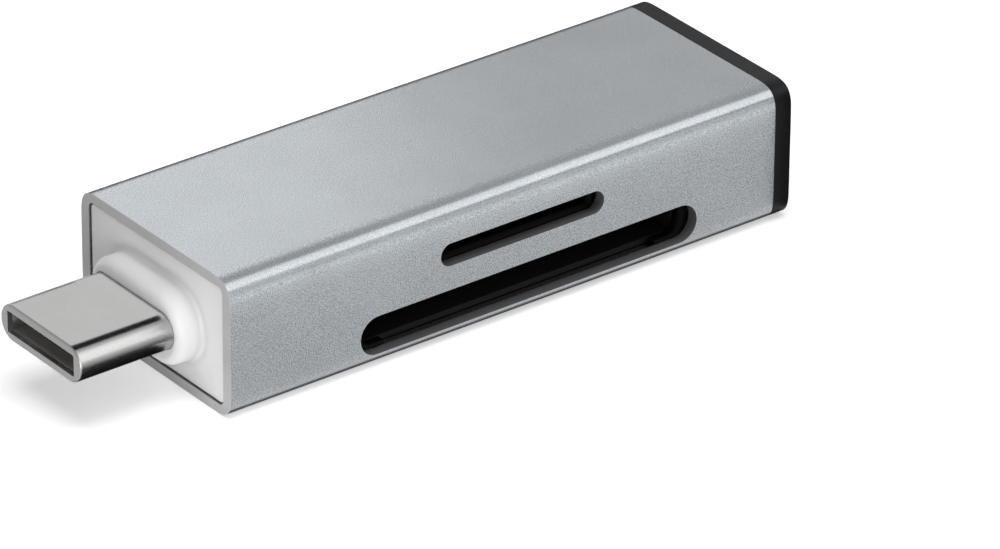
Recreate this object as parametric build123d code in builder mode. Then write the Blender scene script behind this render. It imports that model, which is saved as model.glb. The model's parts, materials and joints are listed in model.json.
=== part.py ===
from build123d import *
import os

# Memory card reader with a USB-C plug, an SD slot and a microSD slot, in millimetres.
# The plug points along -X, the card slots face -Y, and the reader lies on its flat bottom at z = 0.
# The origin is the middle of the bottom of the whole reader, plug and rear cap included.

# Sleeve, a drawn aluminium tube
sleeve_width = 15.2
sleeve_corner_radius = 1.3
side_wall = 0.8
flat_wall = 0.65
bore_corner_radius = 0.45

# Front bezel and the rounded boss around the plug
bezel_recess = 0.1
bezel_thickness = 1.6
bezel_gap = 0.08
boss_reach = 1.62
boss_side_wall = 0.59
boss_upper_wall = 1.1
boss_under_wall = 1.4
boss_edge_radius = 0.65
boss_root_radius = 0.3

# Rear cap
cap_flange = 1.3
cap_edge_radius = 0.1
cap_spigot_length = 2.5
cap_spigot_wall = 0.9
cap_fit = 0.05

# USB-C plug
plug_width = 8.25
plug_height = 2.4
plug_free_length = 6.65
plug_fit = 0.03
plug_rear_length = 0.6
mouth_side_wall = 0.705
mouth_flat_wall = 0.5
mouth_depth = 5.0
shell_wall = 0.2
shell_lip = 0.35
shell_edge_radius = 0.15
shell_tab_length = 1.8
shell_tab_height = 1.0
insulator_fit = 0.02
insulator_front_ring = 1.0
plug_contact_count = 12
plug_contact_edge = 0.67
plug_contact_width = 0.25
plug_contact_thickness = 0.12
plug_contact_skin = 0.08
plug_contact_gap = 0.72
plug_contact_hump_length = 2.0
plug_contact_foot = 1.0
latch_thickness = 0.2
latch_height = 0.7
latch_skin = 0.155
latch_reach = 0.3
latch_hook_length = 1.0

# Circuit board
board_thickness = 0.8
board_groove = 0.4
board_fit = 0.03
board_neck_clearance = 0.2
board_end_gap = 0.1

# Inner frame that carries the board and guides the cards
frame_wall = 0.8
frame_fit = 0.05
frame_end_gap = 0.1
guide_lead_in = 0.25

# SD card slot and socket
sd_card_width = 24.0
sd_card_thickness = 2.1
sd_slot_front_margin = 9.46
sd_slot_rear_margin = 6.05
sd_slot_end_relief = 0.77
sd_slot_side_relief = 0.26
sd_floor = 0.37
sd_standoff = 0.68
sd_lip_width = 1.8
sd_lip_flat = 0.25
sd_base_wall = 0.9
sd_cover_sheet = 0.2
sd_key_size = 3.5
sd_contact_count = 9
sd_contact_edge = 2.0
sd_contact_width = 0.8
sd_contact_lift = 0.6

# microSD card slot and socket
micro_card_width = 11.0
micro_card_thickness = 0.7
micro_slot_offset = -0.66
micro_slot_end_relief = 0.67
micro_slot_side_relief = 0.42
micro_standoff = 0.267
micro_base_wall = 0.9
micro_base_roof = 0.6
micro_head_room = 1.583
micro_cover_sheet = 0.15
micro_contact_count = 8
micro_contact_edge = 1.65
micro_contact_width = 0.5
micro_contact_lift = 0.35

# Shared by both sockets
card_fit = 0.1
socket_gap = 0.05
socket_stop_wall = 0.8
socket_tail_space = 0.6
cover_setback = 0.4
cover_leg_width = 1.2
cover_tongue_width = 2.4
cover_tongue_slot = 0.5
contact_thickness = 0.12
contact_groove = 0.25
contact_side_fit = 0.05
contact_front_setback = 3.0
contact_hump_length = 1.6
contact_foot_gap = 0.1

# Parts on the board
chip_size = 5.0
chip_thickness = 0.9
chip_standoff = 0.1
chip_edge = 0.15
chip_lead_count = 8
chip_lead_edge = 0.75
chip_lead_width = 0.22
chip_lead_thickness = 0.13
chip_lead_shoulder = 0.3
chip_lead_slope = 0.15
chip_lead_foot = 0.45
crystal_length = 3.2
crystal_width = 2.5
crystal_base = 0.4
crystal_lid = 0.4
crystal_step = 0.2
crystal_corner_radius = 0.2
regulator_length = 2.9
regulator_width = 1.6
regulator_thickness = 1.0
regulator_edge = 0.16
regulator_lead_reach = 0.6
regulator_lead_pitch = 1.9
regulator_lead_width = 0.36
regulator_lead_thickness = 0.16
capacitor_count = 5
capacitor_length = 1.0
capacitor_width = 0.5
capacitor_thickness = 0.5
capacitor_edge = 0.06
resistor_count = 5
resistor_length = 1.0
resistor_width = 0.5
resistor_thickness = 0.35
resistor_edge = 0.06
component_gap = 0.6

# Stack of heights, from the bottom of the sleeve up through both sockets
sd_channel_height = sd_card_thickness + 2 * card_fit
micro_channel_height = micro_card_thickness + 2 * card_fit
frame_bottom_z = flat_wall + frame_fit
sd_channel_bottom_z = frame_bottom_z + sd_floor
sd_channel_top_z = sd_channel_bottom_z + sd_channel_height
sd_card_z = sd_channel_bottom_z + sd_channel_height / 2
sd_roof_z = sd_channel_top_z + sd_cover_sheet
board_bottom_z = sd_roof_z + sd_standoff
board_top_z = board_bottom_z + board_thickness
plug_z = board_bottom_z + board_thickness / 2
micro_floor_z = board_top_z + micro_standoff
micro_channel_bottom_z = micro_floor_z + micro_cover_sheet
micro_channel_top_z = micro_channel_bottom_z + micro_channel_height
micro_card_z = micro_channel_bottom_z + micro_channel_height / 2
micro_base_top_z = micro_channel_top_z + micro_base_roof
sleeve_height = micro_base_top_z + micro_head_room + flat_wall
bore_height = sleeve_height - 2 * flat_wall
frame_height = bore_height - 2 * frame_fit
mid_z = sleeve_height / 2

# Places along the reader
sd_slot_length = sd_card_width + 2 * sd_slot_end_relief
sleeve_length = sd_slot_front_margin + sd_slot_length + sd_slot_rear_margin
plug_reach = boss_reach + plug_free_length
tip_x = -(plug_reach + sleeve_length + cap_flange) / 2
front_x = tip_x + plug_reach
rear_x = front_x + sleeve_length
bezel_face_x = front_x + bezel_recess
bezel_back_x = bezel_face_x + bezel_thickness
boss_front_x = front_x - boss_reach
plug_rear_x = bezel_back_x + plug_rear_length
frame_front_x = bezel_back_x + frame_end_gap
frame_rear_x = rear_x - cap_spigot_length - frame_end_gap
frame_rear_wall_x = frame_rear_x - frame_wall
board_front_x = plug_rear_x + board_end_gap
board_neck_x = plug_rear_x + shell_tab_length + board_end_gap
board_rear_x = frame_rear_wall_x - board_end_gap
sd_x = front_x + sd_slot_front_margin + sd_slot_length / 2
micro_x = sd_x + micro_slot_offset

# Places across the reader
bore_width = sleeve_width - 2 * side_wall
frame_width = bore_width - 2 * frame_fit
frame_inner_y = frame_width / 2 - frame_wall
socket_front_y = -frame_inner_y + socket_gap
socket_rear_y = frame_inner_y - socket_tail_space
socket_mid_y = (socket_front_y + socket_rear_y) / 2
card_stop_y = socket_rear_y - socket_stop_wall
channel_mid_y = (socket_front_y + card_stop_y) / 2
tail_y = socket_rear_y + socket_gap
foot_end_y = frame_inner_y - contact_foot_gap
contact_front_y = socket_front_y + contact_front_setback
groove_mid_y = (contact_front_y + socket_rear_y) / 2
cover_front_y = socket_front_y + cover_setback
cover_depth = card_stop_y - cover_front_y
cover_mid_y = (card_stop_y + cover_front_y) / 2

# Card channels, shared by the guide mouths and the sockets behind them
sd_channel_width = sd_card_width + 2 * card_fit
sd_base_width = sd_channel_width + 2 * sd_base_wall
sd_contact_pitch = (sd_card_width - 2 * sd_contact_edge) / (sd_contact_count - 1)
micro_channel_width = micro_card_width + 2 * card_fit
micro_base_width = micro_channel_width + 2 * micro_base_wall
micro_contact_pitch = (micro_card_width - 2 * micro_contact_edge) / (micro_contact_count - 1)

os.makedirs("parts", exist_ok=True)


# Housing sleeve: rounded rectangular tube with two round-ended card slots in its near side
sd_slot_height = sd_card_thickness + 2 * sd_slot_side_relief
micro_slot_length = micro_card_width + 2 * micro_slot_end_relief
micro_slot_height = micro_card_thickness + 2 * micro_slot_side_relief
with BuildPart() as sleeve:
    with BuildSketch(Plane.YZ.offset(front_x)):
        with Locations((0, mid_z)):
            RectangleRounded(sleeve_width, sleeve_height, sleeve_corner_radius)
            RectangleRounded(bore_width, bore_height, bore_corner_radius, mode=Mode.SUBTRACT)
    extrude(amount=sleeve_length)
    with BuildSketch(Plane.XZ.offset(sleeve_width / 2)):
        with Locations((sd_x, sd_card_z)):
            SlotOverall(sd_slot_length, sd_slot_height)
        with Locations((micro_x, micro_card_z)):
            SlotOverall(micro_slot_length, micro_slot_height)
    extrude(amount=-(side_wall + bore_corner_radius), mode=Mode.SUBTRACT)
sleeve.part.label = "housing_sleeve"
export_step(sleeve.part, "parts/housing_sleeve.step")


# Front bezel: plate in the mouth of the sleeve, with a soft rounded boss that the plug comes out of
boss_width = plug_width + 2 * boss_side_wall
boss_height = plug_height + boss_upper_wall + boss_under_wall
boss_z = plug_z + (boss_upper_wall - boss_under_wall) / 2
bezel_width = bore_width - 2 * bezel_gap
bezel_height = bore_height - 2 * bezel_gap
with BuildPart() as bezel:
    with BuildSketch(Plane.YZ.offset(bezel_face_x)):
        with Locations((0, mid_z)):
            RectangleRounded(bezel_width, bezel_height, bore_corner_radius - bezel_gap)
    extrude(amount=bezel_thickness)
    with BuildSketch(Plane.YZ.offset(boss_front_x)):
        with Locations((0, boss_z)):
            SlotOverall(boss_width, boss_height)
    extrude(amount=bezel_face_x - boss_front_x)
    fillet(bezel.faces().sort_by(Axis.X)[0].edges(), boss_edge_radius)
    plate_face = bezel.faces().filter_by(Axis.X).sort_by(Axis.X)[1]
    fillet(plate_face.inner_wires()[0].edges(), boss_root_radius)
    with BuildSketch(Plane.YZ.offset(boss_front_x)):
        with Locations((0, plug_z)):
            SlotOverall(plug_width + 2 * plug_fit, plug_height + 2 * plug_fit)
    extrude(amount=bezel_back_x - boss_front_x, mode=Mode.SUBTRACT)
bezel.part.label = "front_bezel"
export_step(bezel.part, "parts/front_bezel.step")


# Rear cap: flange that carries on the sleeve's outline, and a hollow spigot inside the sleeve
spigot_width = bore_width - 2 * cap_fit
spigot_height = bore_height - 2 * cap_fit
with BuildPart() as cap:
    with BuildSketch(Plane.YZ.offset(rear_x)):
        with Locations((0, mid_z)):
            RectangleRounded(sleeve_width, sleeve_height, sleeve_corner_radius)
    extrude(amount=cap_flange)
    fillet(cap.faces().sort_by(Axis.X)[-1].edges(), cap_edge_radius)
    with BuildSketch(Plane.YZ.offset(rear_x)):
        with Locations((0, mid_z)):
            RectangleRounded(spigot_width, spigot_height, bore_corner_radius)
            offset(amount=-cap_spigot_wall, kind=Kind.INTERSECTION, mode=Mode.SUBTRACT)
    extrude(amount=-cap_spigot_length)
cap.part.label = "rear_cap"
export_step(cap.part, "parts/rear_cap.step")


# Inner frame: U of three walls, open at the plug end, with board grooves and two card guide mouths
sd_lip_radius = sd_channel_height / 2 - sd_lip_flat
with BuildPart() as frame:
    with BuildSketch(Plane.XY.offset(frame_bottom_z)):
        with Locations((frame_front_x, 0)):
            Rectangle(frame_rear_x - frame_front_x, frame_width, align=(Align.MIN, Align.CENTER))
            Rectangle(
                frame_rear_wall_x - frame_front_x, 2 * frame_inner_y,
                align=(Align.MIN, Align.CENTER), mode=Mode.SUBTRACT,
            )
    extrude(amount=frame_height)
    fillet(frame.edges().filter_by(Axis.X).group_by(SortBy.LENGTH)[-1], bore_corner_radius)
    with BuildSketch(Plane.YZ.offset(frame_front_x)):
        with Locations((0, plug_z)):
            Rectangle(2 * (frame_inner_y + board_groove), board_thickness + 2 * board_fit)
    extrude(amount=frame_rear_wall_x - frame_front_x, mode=Mode.SUBTRACT)
    # The SD mouth is rounded below and has no floor between the two lips under the card's edges
    with BuildSketch(Plane.XZ.offset(frame_width / 2)):
        with Locations((sd_x, sd_card_z)):
            RectangleRounded(sd_channel_width, sd_channel_height, sd_lip_radius)
            Rectangle(sd_channel_width, sd_channel_height / 2, align=(Align.CENTER, Align.MIN))
            Rectangle(
                sd_channel_width - 2 * sd_lip_width, sd_card_z - frame_bottom_z,
                align=(Align.CENTER, Align.MAX),
            )
        with Locations((micro_x, micro_card_z)):
            Rectangle(micro_channel_width, micro_channel_height)
    extrude(amount=-frame_wall, mode=Mode.SUBTRACT)
    # Sloped lead-in around both mouths
    with BuildSketch(Plane.XZ.offset(frame_width / 2)):
        with Locations((sd_x, sd_card_z)):
            RectangleRounded(
                sd_channel_width + 2 * guide_lead_in, sd_channel_height + 2 * guide_lead_in,
                sd_lip_radius + guide_lead_in,
            )
        with Locations((micro_x, micro_card_z)):
            Rectangle(micro_channel_width + 2 * guide_lead_in, micro_channel_height + 2 * guide_lead_in)
    extrude(amount=-guide_lead_in, taper=45, mode=Mode.SUBTRACT)
frame.part.label = "inner_frame"
export_step(frame.part, "parts/inner_frame.step")


# Circuit board: slides in the frame's grooves, with a narrow neck between the plug's side tabs
board_width = 2 * (frame_inner_y + board_groove - board_fit)
board_neck_width = plug_width - 2 * shell_wall - 2 * board_neck_clearance
with BuildPart() as board:
    with BuildSketch(Plane.XY.offset(board_bottom_z)):
        with Locations((board_neck_x, 0)):
            Rectangle(board_rear_x - board_neck_x, board_width, align=(Align.MIN, Align.CENTER))
        with Locations((board_front_x, 0)):
            Rectangle(board_rear_x - board_front_x, board_neck_width, align=(Align.MIN, Align.CENTER))
    extrude(amount=board_thickness)
board.part.label = "circuit_board"
export_step(board.part, "parts/circuit_board.step")


# Plug shell: drawn steel tube with an inturned lip at the tip and two side tabs at the board
mouth_width = plug_width - 2 * mouth_side_wall
mouth_height = plug_height - 2 * mouth_flat_wall
cavity_width = plug_width - 2 * shell_wall
cavity_height = plug_height - 2 * shell_wall
with BuildPart() as shell:
    with BuildSketch(Plane.YZ.offset(tip_x)):
        with Locations((0, plug_z)):
            SlotOverall(plug_width, plug_height)
    extrude(amount=plug_rear_x - tip_x)
    fillet(shell.faces().sort_by(Axis.X)[0].edges(), shell_edge_radius)
    with BuildSketch(Plane.YZ.offset(tip_x + shell_lip)):
        with Locations((0, plug_z)):
            SlotOverall(cavity_width, cavity_height)
    extrude(amount=plug_rear_x - tip_x - shell_lip, mode=Mode.SUBTRACT)
    with BuildSketch(Plane.YZ.offset(tip_x)):
        with Locations((0, plug_z)):
            Rectangle(mouth_width, mouth_height)
    extrude(amount=shell_lip, mode=Mode.SUBTRACT)
    with BuildSketch(Plane.YZ.offset(plug_rear_x)):
        with Locations((0, plug_z)):
            SlotOverall(plug_width, plug_height)
            SlotOverall(cavity_width, cavity_height, mode=Mode.SUBTRACT)
            Rectangle(plug_width, shell_tab_height, mode=Mode.INTERSECT)
    extrude(amount=shell_tab_length)
shell.part.label = "usb_c_shell"
export_step(shell.part, "parts/usb_c_shell.step")


# Plug insulator: fills the shell, with the mouth's cavity, contact grooves and two latch grooves
insulator_front_x = tip_x + shell_lip + insulator_fit
groove_front_x = insulator_front_x + insulator_front_ring
plug_contact_pitch = (mouth_width - 2 * plug_contact_edge) / (plug_contact_count - 1)
plug_contact_groove = mouth_flat_wall - shell_wall - insulator_fit - plug_contact_skin
latch_groove = mouth_side_wall - shell_wall - insulator_fit - latch_skin
with BuildPart() as insulator:
    with BuildSketch(Plane.YZ.offset(insulator_front_x)):
        with Locations((0, plug_z)):
            SlotOverall(cavity_width - 2 * insulator_fit, cavity_height - 2 * insulator_fit)
    extrude(amount=plug_rear_x - insulator_front_x)
    with BuildSketch(Plane.YZ.offset(insulator_front_x)):
        with Locations((0, plug_z)):
            Rectangle(mouth_width, mouth_height)
    extrude(amount=mouth_depth, mode=Mode.SUBTRACT)
    with BuildSketch(Plane.YZ.offset(groove_front_x)):
        with Locations((0, plug_z)):
            with GridLocations(plug_contact_pitch, mouth_height + plug_contact_groove, plug_contact_count, 2):
                Rectangle(plug_contact_width + 2 * contact_side_fit, plug_contact_groove)
            with GridLocations(mouth_width + latch_groove, 0, 2, 1):
                Rectangle(latch_groove, latch_height + 2 * insulator_fit)
    extrude(amount=plug_rear_x - groove_front_x, mode=Mode.SUBTRACT)
insulator.part.label = "usb_c_insulator"
export_step(insulator.part, "parts/usb_c_insulator.step")


# One upper plug contact: foot on the board, run in its groove, and a sprung hump into the cavity
groove_roof_z = plug_z + mouth_height / 2 + plug_contact_groove
contact_run_z = groove_roof_z - insulator_fit - plug_contact_thickness
contact_hump_z = plug_z + plug_contact_gap / 2
contact_tip_x = groove_front_x + contact_side_fit
contact_hump_x = contact_tip_x + plug_contact_hump_length
contact_bend_x = plug_rear_x + plug_contact_foot / 2
contact_heel_x = plug_rear_x + plug_contact_foot
with BuildPart() as plug_contact:
    with BuildSketch(Plane.XZ.offset(-plug_contact_width / 2)):
        with BuildLine():
            Polyline(
                (contact_heel_x + plug_contact_foot, board_top_z),
                (contact_heel_x, board_top_z),
                (contact_bend_x, contact_run_z),
                (contact_hump_x + plug_contact_hump_length / 2, contact_run_z),
                (contact_hump_x, contact_hump_z),
                (contact_tip_x, contact_run_z),
            )
            offset(amount=plug_contact_thickness, side=Side.RIGHT, kind=Kind.INTERSECTION)
        make_face()
    extrude(amount=plug_contact_width)

with BuildPart() as upper_contacts:
    with GridLocations(0, plug_contact_pitch, 1, plug_contact_count):
        add(plug_contact.part)
upper_contacts.part.label = "usb_c_upper_contacts"
export_step(upper_contacts.part, "parts/usb_c_upper_contacts.step")

with BuildPart() as lower_contacts:
    mirror(upper_contacts.part, about=Plane.XY.offset(plug_z))
lower_contacts.part.label = "usb_c_lower_contacts"
export_step(lower_contacts.part, "parts/usb_c_lower_contacts.step")


# Latch springs: one strip in each side groove, hooked into the mouth's cavity near the tip
latch_y = mouth_width / 2 + latch_groove - latch_thickness - insulator_fit
latch_hook_x = contact_tip_x + latch_hook_length
with BuildPart() as latches:
    with BuildSketch(Plane.XY.offset(plug_z - latch_height / 2)):
        with BuildLine():
            Polyline(
                (plug_rear_x, latch_y),
                (latch_hook_x + latch_hook_length, latch_y),
                (latch_hook_x, mouth_width / 2 - latch_reach),
                (contact_tip_x, latch_y),
            )
            offset(amount=latch_thickness, side=Side.RIGHT, kind=Kind.INTERSECTION)
        make_face()
    extrude(amount=latch_height)
    mirror(about=Plane.XZ)
latches.part.label = "usb_c_latch_springs"
export_step(latches.part, "parts/usb_c_latch_springs.step")


# SD socket base: floor with contact grooves, side walls, card stop and the corner key
sd_groove_floor_z = sd_channel_bottom_z - contact_groove
sd_key_x = sd_x + sd_channel_width / 2
with BuildPart() as sd_base:
    with BuildSketch(Plane.XY.offset(frame_bottom_z)):
        with Locations((sd_x, socket_mid_y)):
            Rectangle(sd_base_width, socket_rear_y - socket_front_y)
    extrude(amount=sd_channel_top_z - frame_bottom_z)
    with BuildSketch(Plane.XY.offset(sd_channel_bottom_z)):
        with Locations((sd_x, channel_mid_y)):
            Rectangle(sd_channel_width, card_stop_y - socket_front_y)
        with BuildLine():
            Polyline(
                (sd_key_x, card_stop_y),
                (sd_key_x - sd_key_size, card_stop_y),
                (sd_key_x, card_stop_y - sd_key_size),
                close=True,
            )
        make_face(mode=Mode.SUBTRACT)
    extrude(amount=sd_channel_height, mode=Mode.SUBTRACT)
    with BuildSketch(Plane.XY.offset(sd_groove_floor_z)):
        with Locations((sd_x, groove_mid_y)):
            with GridLocations(sd_contact_pitch, 0, sd_contact_count, 1):
                Rectangle(sd_contact_width + 2 * contact_side_fit, socket_rear_y - contact_front_y)
    extrude(amount=contact_groove, mode=Mode.SUBTRACT)
sd_base.part.label = "sd_socket_base"
export_step(sd_base.part, "parts/sd_socket_base.step")


# SD socket cover: folded sheet over the base, with two sprung tongues and four legs to the board
tongue_window = cover_tongue_width + 2 * cover_tongue_slot
with BuildPart() as sd_cover:
    with BuildSketch(Plane.XZ.offset(-cover_front_y)):
        with BuildLine():
            Polyline(
                (sd_x - sd_base_width / 2, sd_channel_bottom_z),
                (sd_x - sd_base_width / 2, sd_channel_top_z),
                (sd_x + sd_base_width / 2, sd_channel_top_z),
                (sd_x + sd_base_width / 2, sd_channel_bottom_z),
            )
            offset(amount=sd_cover_sheet, side=Side.LEFT)
        make_face()
    extrude(amount=-cover_depth)
    with BuildSketch(Plane.XY.offset(sd_channel_top_z)):
        with Locations((sd_x, cover_mid_y)):
            with GridLocations(sd_channel_width / 2, 0, 2, 1):
                Rectangle(tongue_window, cover_depth / 2)
        with Locations((sd_x, cover_mid_y + cover_tongue_slot)):
            with GridLocations(sd_channel_width / 2, 0, 2, 1):
                Rectangle(cover_tongue_width, cover_depth / 2, mode=Mode.SUBTRACT)
    extrude(amount=sd_cover_sheet, mode=Mode.SUBTRACT)
    with BuildSketch(Plane.XY.offset(sd_roof_z)):
        with Locations((sd_x, cover_mid_y)):
            with GridLocations(sd_base_width, cover_depth - cover_leg_width, 2, 2):
                Rectangle(sd_cover_sheet, cover_leg_width)
    extrude(amount=sd_standoff)
sd_cover.part.label = "sd_socket_cover"
export_step(sd_cover.part, "parts/sd_socket_cover.step")


# SD contacts: foot under the board, tail behind the card stop, and a sprung hump above the floor
contact_hump_y = contact_front_y + contact_hump_length
contact_hump_end_y = contact_hump_y + contact_hump_length
sd_run_z = sd_groove_floor_z + (contact_groove + contact_thickness) / 2
with BuildPart() as sd_contact:
    with BuildSketch(Plane.YZ.offset(-sd_contact_width / 2)):
        with BuildLine():
            Polyline(
                (foot_end_y, board_bottom_z),
                (tail_y, board_bottom_z),
                (tail_y, sd_run_z),
                (contact_hump_end_y, sd_run_z),
                (contact_hump_y, sd_channel_bottom_z + sd_contact_lift),
                (contact_front_y + contact_side_fit, sd_run_z),
            )
            offset(amount=contact_thickness, side=Side.LEFT, kind=Kind.INTERSECTION)
        make_face()
    extrude(amount=sd_contact_width)

with BuildPart() as sd_contacts:
    with Locations((sd_x, 0)):
        with GridLocations(sd_contact_pitch, 0, sd_contact_count, 1):
            add(sd_contact.part)
sd_contacts.part.label = "sd_contacts"
export_step(sd_contacts.part, "parts/sd_contacts.step")


# microSD socket base: roof with contact grooves, side walls and card stop
with BuildPart() as micro_base:
    with BuildSketch(Plane.XY.offset(micro_channel_bottom_z)):
        with Locations((micro_x, socket_mid_y)):
            Rectangle(micro_base_width, socket_rear_y - socket_front_y)
    extrude(amount=micro_base_top_z - micro_channel_bottom_z)
    with BuildSketch(Plane.XY.offset(micro_channel_bottom_z)):
        with Locations((micro_x, channel_mid_y)):
            Rectangle(micro_channel_width, card_stop_y - socket_front_y)
    extrude(amount=micro_channel_height, mode=Mode.SUBTRACT)
    with BuildSketch(Plane.XY.offset(micro_channel_top_z)):
        with Locations((micro_x, groove_mid_y)):
            with GridLocations(micro_contact_pitch, 0, micro_contact_count, 1):
                Rectangle(micro_contact_width + 2 * contact_side_fit, socket_rear_y - contact_front_y)
    extrude(amount=contact_groove, mode=Mode.SUBTRACT)
micro_base.part.label = "microsd_socket_base"
export_step(micro_base.part, "parts/microsd_socket_base.step")


# microSD socket cover: folded sheet under the base, with four legs to the board
with BuildPart() as micro_cover:
    with BuildSketch(Plane.XZ.offset(-cover_front_y)):
        with BuildLine():
            Polyline(
                (micro_x - micro_base_width / 2, micro_channel_top_z),
                (micro_x - micro_base_width / 2, micro_channel_bottom_z),
                (micro_x + micro_base_width / 2, micro_channel_bottom_z),
                (micro_x + micro_base_width / 2, micro_channel_top_z),
            )
            offset(amount=micro_cover_sheet, side=Side.RIGHT)
        make_face()
    extrude(amount=-cover_depth)
    with BuildSketch(Plane.XY.offset(board_top_z)):
        with Locations((micro_x, cover_mid_y)):
            with GridLocations(micro_base_width, cover_depth - cover_leg_width, 2, 2):
                Rectangle(micro_cover_sheet, cover_leg_width)
    extrude(amount=micro_standoff)
micro_cover.part.label = "microsd_socket_cover"
export_step(micro_cover.part, "parts/microsd_socket_cover.step")


# microSD contacts: foot on the board, tail behind the card stop, and a sprung hump below the roof
micro_run_z = micro_channel_top_z + (contact_groove - contact_thickness) / 2
with BuildPart() as micro_contact:
    with BuildSketch(Plane.YZ.offset(-micro_contact_width / 2)):
        with BuildLine():
            Polyline(
                (foot_end_y, board_top_z),
                (tail_y, board_top_z),
                (tail_y, micro_run_z),
                (contact_hump_end_y, micro_run_z),
                (contact_hump_y, micro_channel_top_z - micro_contact_lift),
                (contact_front_y + contact_side_fit, micro_run_z),
            )
            offset(amount=contact_thickness, side=Side.RIGHT, kind=Kind.INTERSECTION)
        make_face()
    extrude(amount=micro_contact_width)

with BuildPart() as micro_contacts:
    with Locations((micro_x, 0)):
        with GridLocations(micro_contact_pitch, 0, micro_contact_count, 1):
            add(micro_contact.part)
micro_contacts.part.label = "microsd_contacts"
export_step(micro_contacts.part, "parts/microsd_contacts.step")


# Reader chip: moulded body with a bevelled top, in the bay between the microSD socket and the rear
chip_x = (micro_x + micro_base_width / 2 + board_rear_x) / 2
chip_bottom_z = board_top_z + chip_standoff
with BuildPart() as chip:
    with BuildSketch(Plane.XY.offset(chip_bottom_z)):
        with Locations((chip_x, 0)):
            Rectangle(chip_size, chip_size)
    extrude(amount=chip_thickness)
    chamfer(chip.edges().group_by(Axis.Z)[-1], chip_edge)
chip.part.label = "reader_chip"
export_step(chip.part, "parts/reader_chip.step")


# Chip leads: gull wings along all four sides
lead_root_z = chip_bottom_z + chip_thickness / 2
lead_root_x = chip_size / 2
lead_bend_x = lead_root_x + chip_lead_shoulder
lead_heel_x = lead_bend_x + chip_lead_slope
chip_lead_pitch = (chip_size - 2 * chip_lead_edge) / (chip_lead_count - 1)
with BuildPart() as chip_lead:
    with BuildSketch(Plane.XZ.offset(-chip_lead_width / 2)):
        with BuildLine():
            Polyline(
                (lead_root_x, lead_root_z),
                (lead_bend_x, lead_root_z),
                (lead_heel_x, board_top_z),
                (lead_heel_x + chip_lead_foot, board_top_z),
            )
            offset(amount=chip_lead_thickness, side=Side.LEFT, kind=Kind.INTERSECTION)
        make_face()
    extrude(amount=chip_lead_width)

with BuildPart() as chip_leads:
    with Locations((chip_x, 0)):
        with PolarLocations(0, 4):
            with GridLocations(0, chip_lead_pitch, 1, chip_lead_count):
                add(chip_lead.part)
chip_leads.part.label = "reader_chip_leads"
export_step(chip_leads.part, "parts/reader_chip_leads.step")


# Front bay of the board, between the plug's contacts and the microSD socket
bay_front_x = board_neck_x + component_gap
bay_rear_x = micro_x - micro_base_width / 2 - micro_cover_sheet - component_gap
bay_mid_x = (bay_front_x + bay_rear_x) / 2

# Crystal: sealed can with rounded corners and a stepped lid
crystal_y = (component_gap + crystal_width) / 2
lid_length = crystal_length - 2 * crystal_step
lid_width = crystal_width - 2 * crystal_step
with BuildPart() as crystal:
    with BuildSketch(Plane.XY.offset(board_top_z)):
        with Locations((bay_mid_x, crystal_y)):
            RectangleRounded(crystal_length, crystal_width, crystal_corner_radius)
    extrude(amount=crystal_base)
    with BuildSketch(Plane.XY.offset(board_top_z + crystal_base)):
        with Locations((bay_mid_x, crystal_y)):
            RectangleRounded(lid_length, lid_width, crystal_corner_radius)
    extrude(amount=crystal_lid)
crystal.part.label = "crystal"
export_step(crystal.part, "parts/crystal.step")


# Voltage regulator: small moulded body on three flat leads, one on the crystal's side
regulator_y = -component_gap / 2 - regulator_lead_reach - regulator_width / 2
lead_side_y = (regulator_width + regulator_lead_reach) / 2
with BuildPart() as regulator:
    with BuildSketch(Plane.XY.offset(board_top_z)):
        with Locations((bay_mid_x, regulator_y)):
            Rectangle(regulator_length, regulator_width)
    extrude(amount=regulator_thickness)
    chamfer(regulator.edges().group_by(Axis.Z)[-1], regulator_edge)
    with BuildSketch(Plane.XY.offset(board_top_z)):
        with Locations((bay_mid_x, regulator_y - lead_side_y)):
            with GridLocations(regulator_lead_pitch, 0, 2, 1):
                Rectangle(regulator_lead_width, regulator_lead_reach)
        with Locations((bay_mid_x, regulator_y + lead_side_y)):
            Rectangle(regulator_lead_width, regulator_lead_reach)
    extrude(amount=regulator_lead_thickness)
regulator.part.label = "voltage_regulator"
export_step(regulator.part, "parts/voltage_regulator.step")


# Chip capacitors: a row across the front of the bay
with BuildPart() as capacitors:
    with BuildSketch(Plane.XY.offset(board_top_z)):
        with Locations((bay_front_x + capacitor_length / 2, 0)):
            with GridLocations(0, capacitor_width + component_gap, 1, capacitor_count):
                Rectangle(capacitor_length, capacitor_width)
    extrude(amount=capacitor_thickness)
    chamfer(capacitors.edges().group_by(Axis.Z)[-1], capacitor_edge)
capacitors.part.label = "chip_capacitors"
export_step(capacitors.part, "parts/chip_capacitors.step")


# Chip resistors: a row across the rear of the bay
with BuildPart() as resistors:
    with BuildSketch(Plane.XY.offset(board_top_z)):
        with Locations((bay_rear_x - resistor_length / 2, 0)):
            with GridLocations(0, resistor_width + component_gap, 1, resistor_count):
                Rectangle(resistor_length, resistor_width)
    extrude(amount=resistor_thickness)
    chamfer(resistors.edges().group_by(Axis.Z)[-1], resistor_edge)
resistors.part.label = "chip_resistors"
export_step(resistors.part, "parts/chip_resistors.step")
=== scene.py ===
import json
import math

import bmesh
import bpy
from bpy.props import FloatProperty, FloatVectorProperty, IntProperty, PointerProperty
from mathutils import Matrix, Vector


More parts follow.
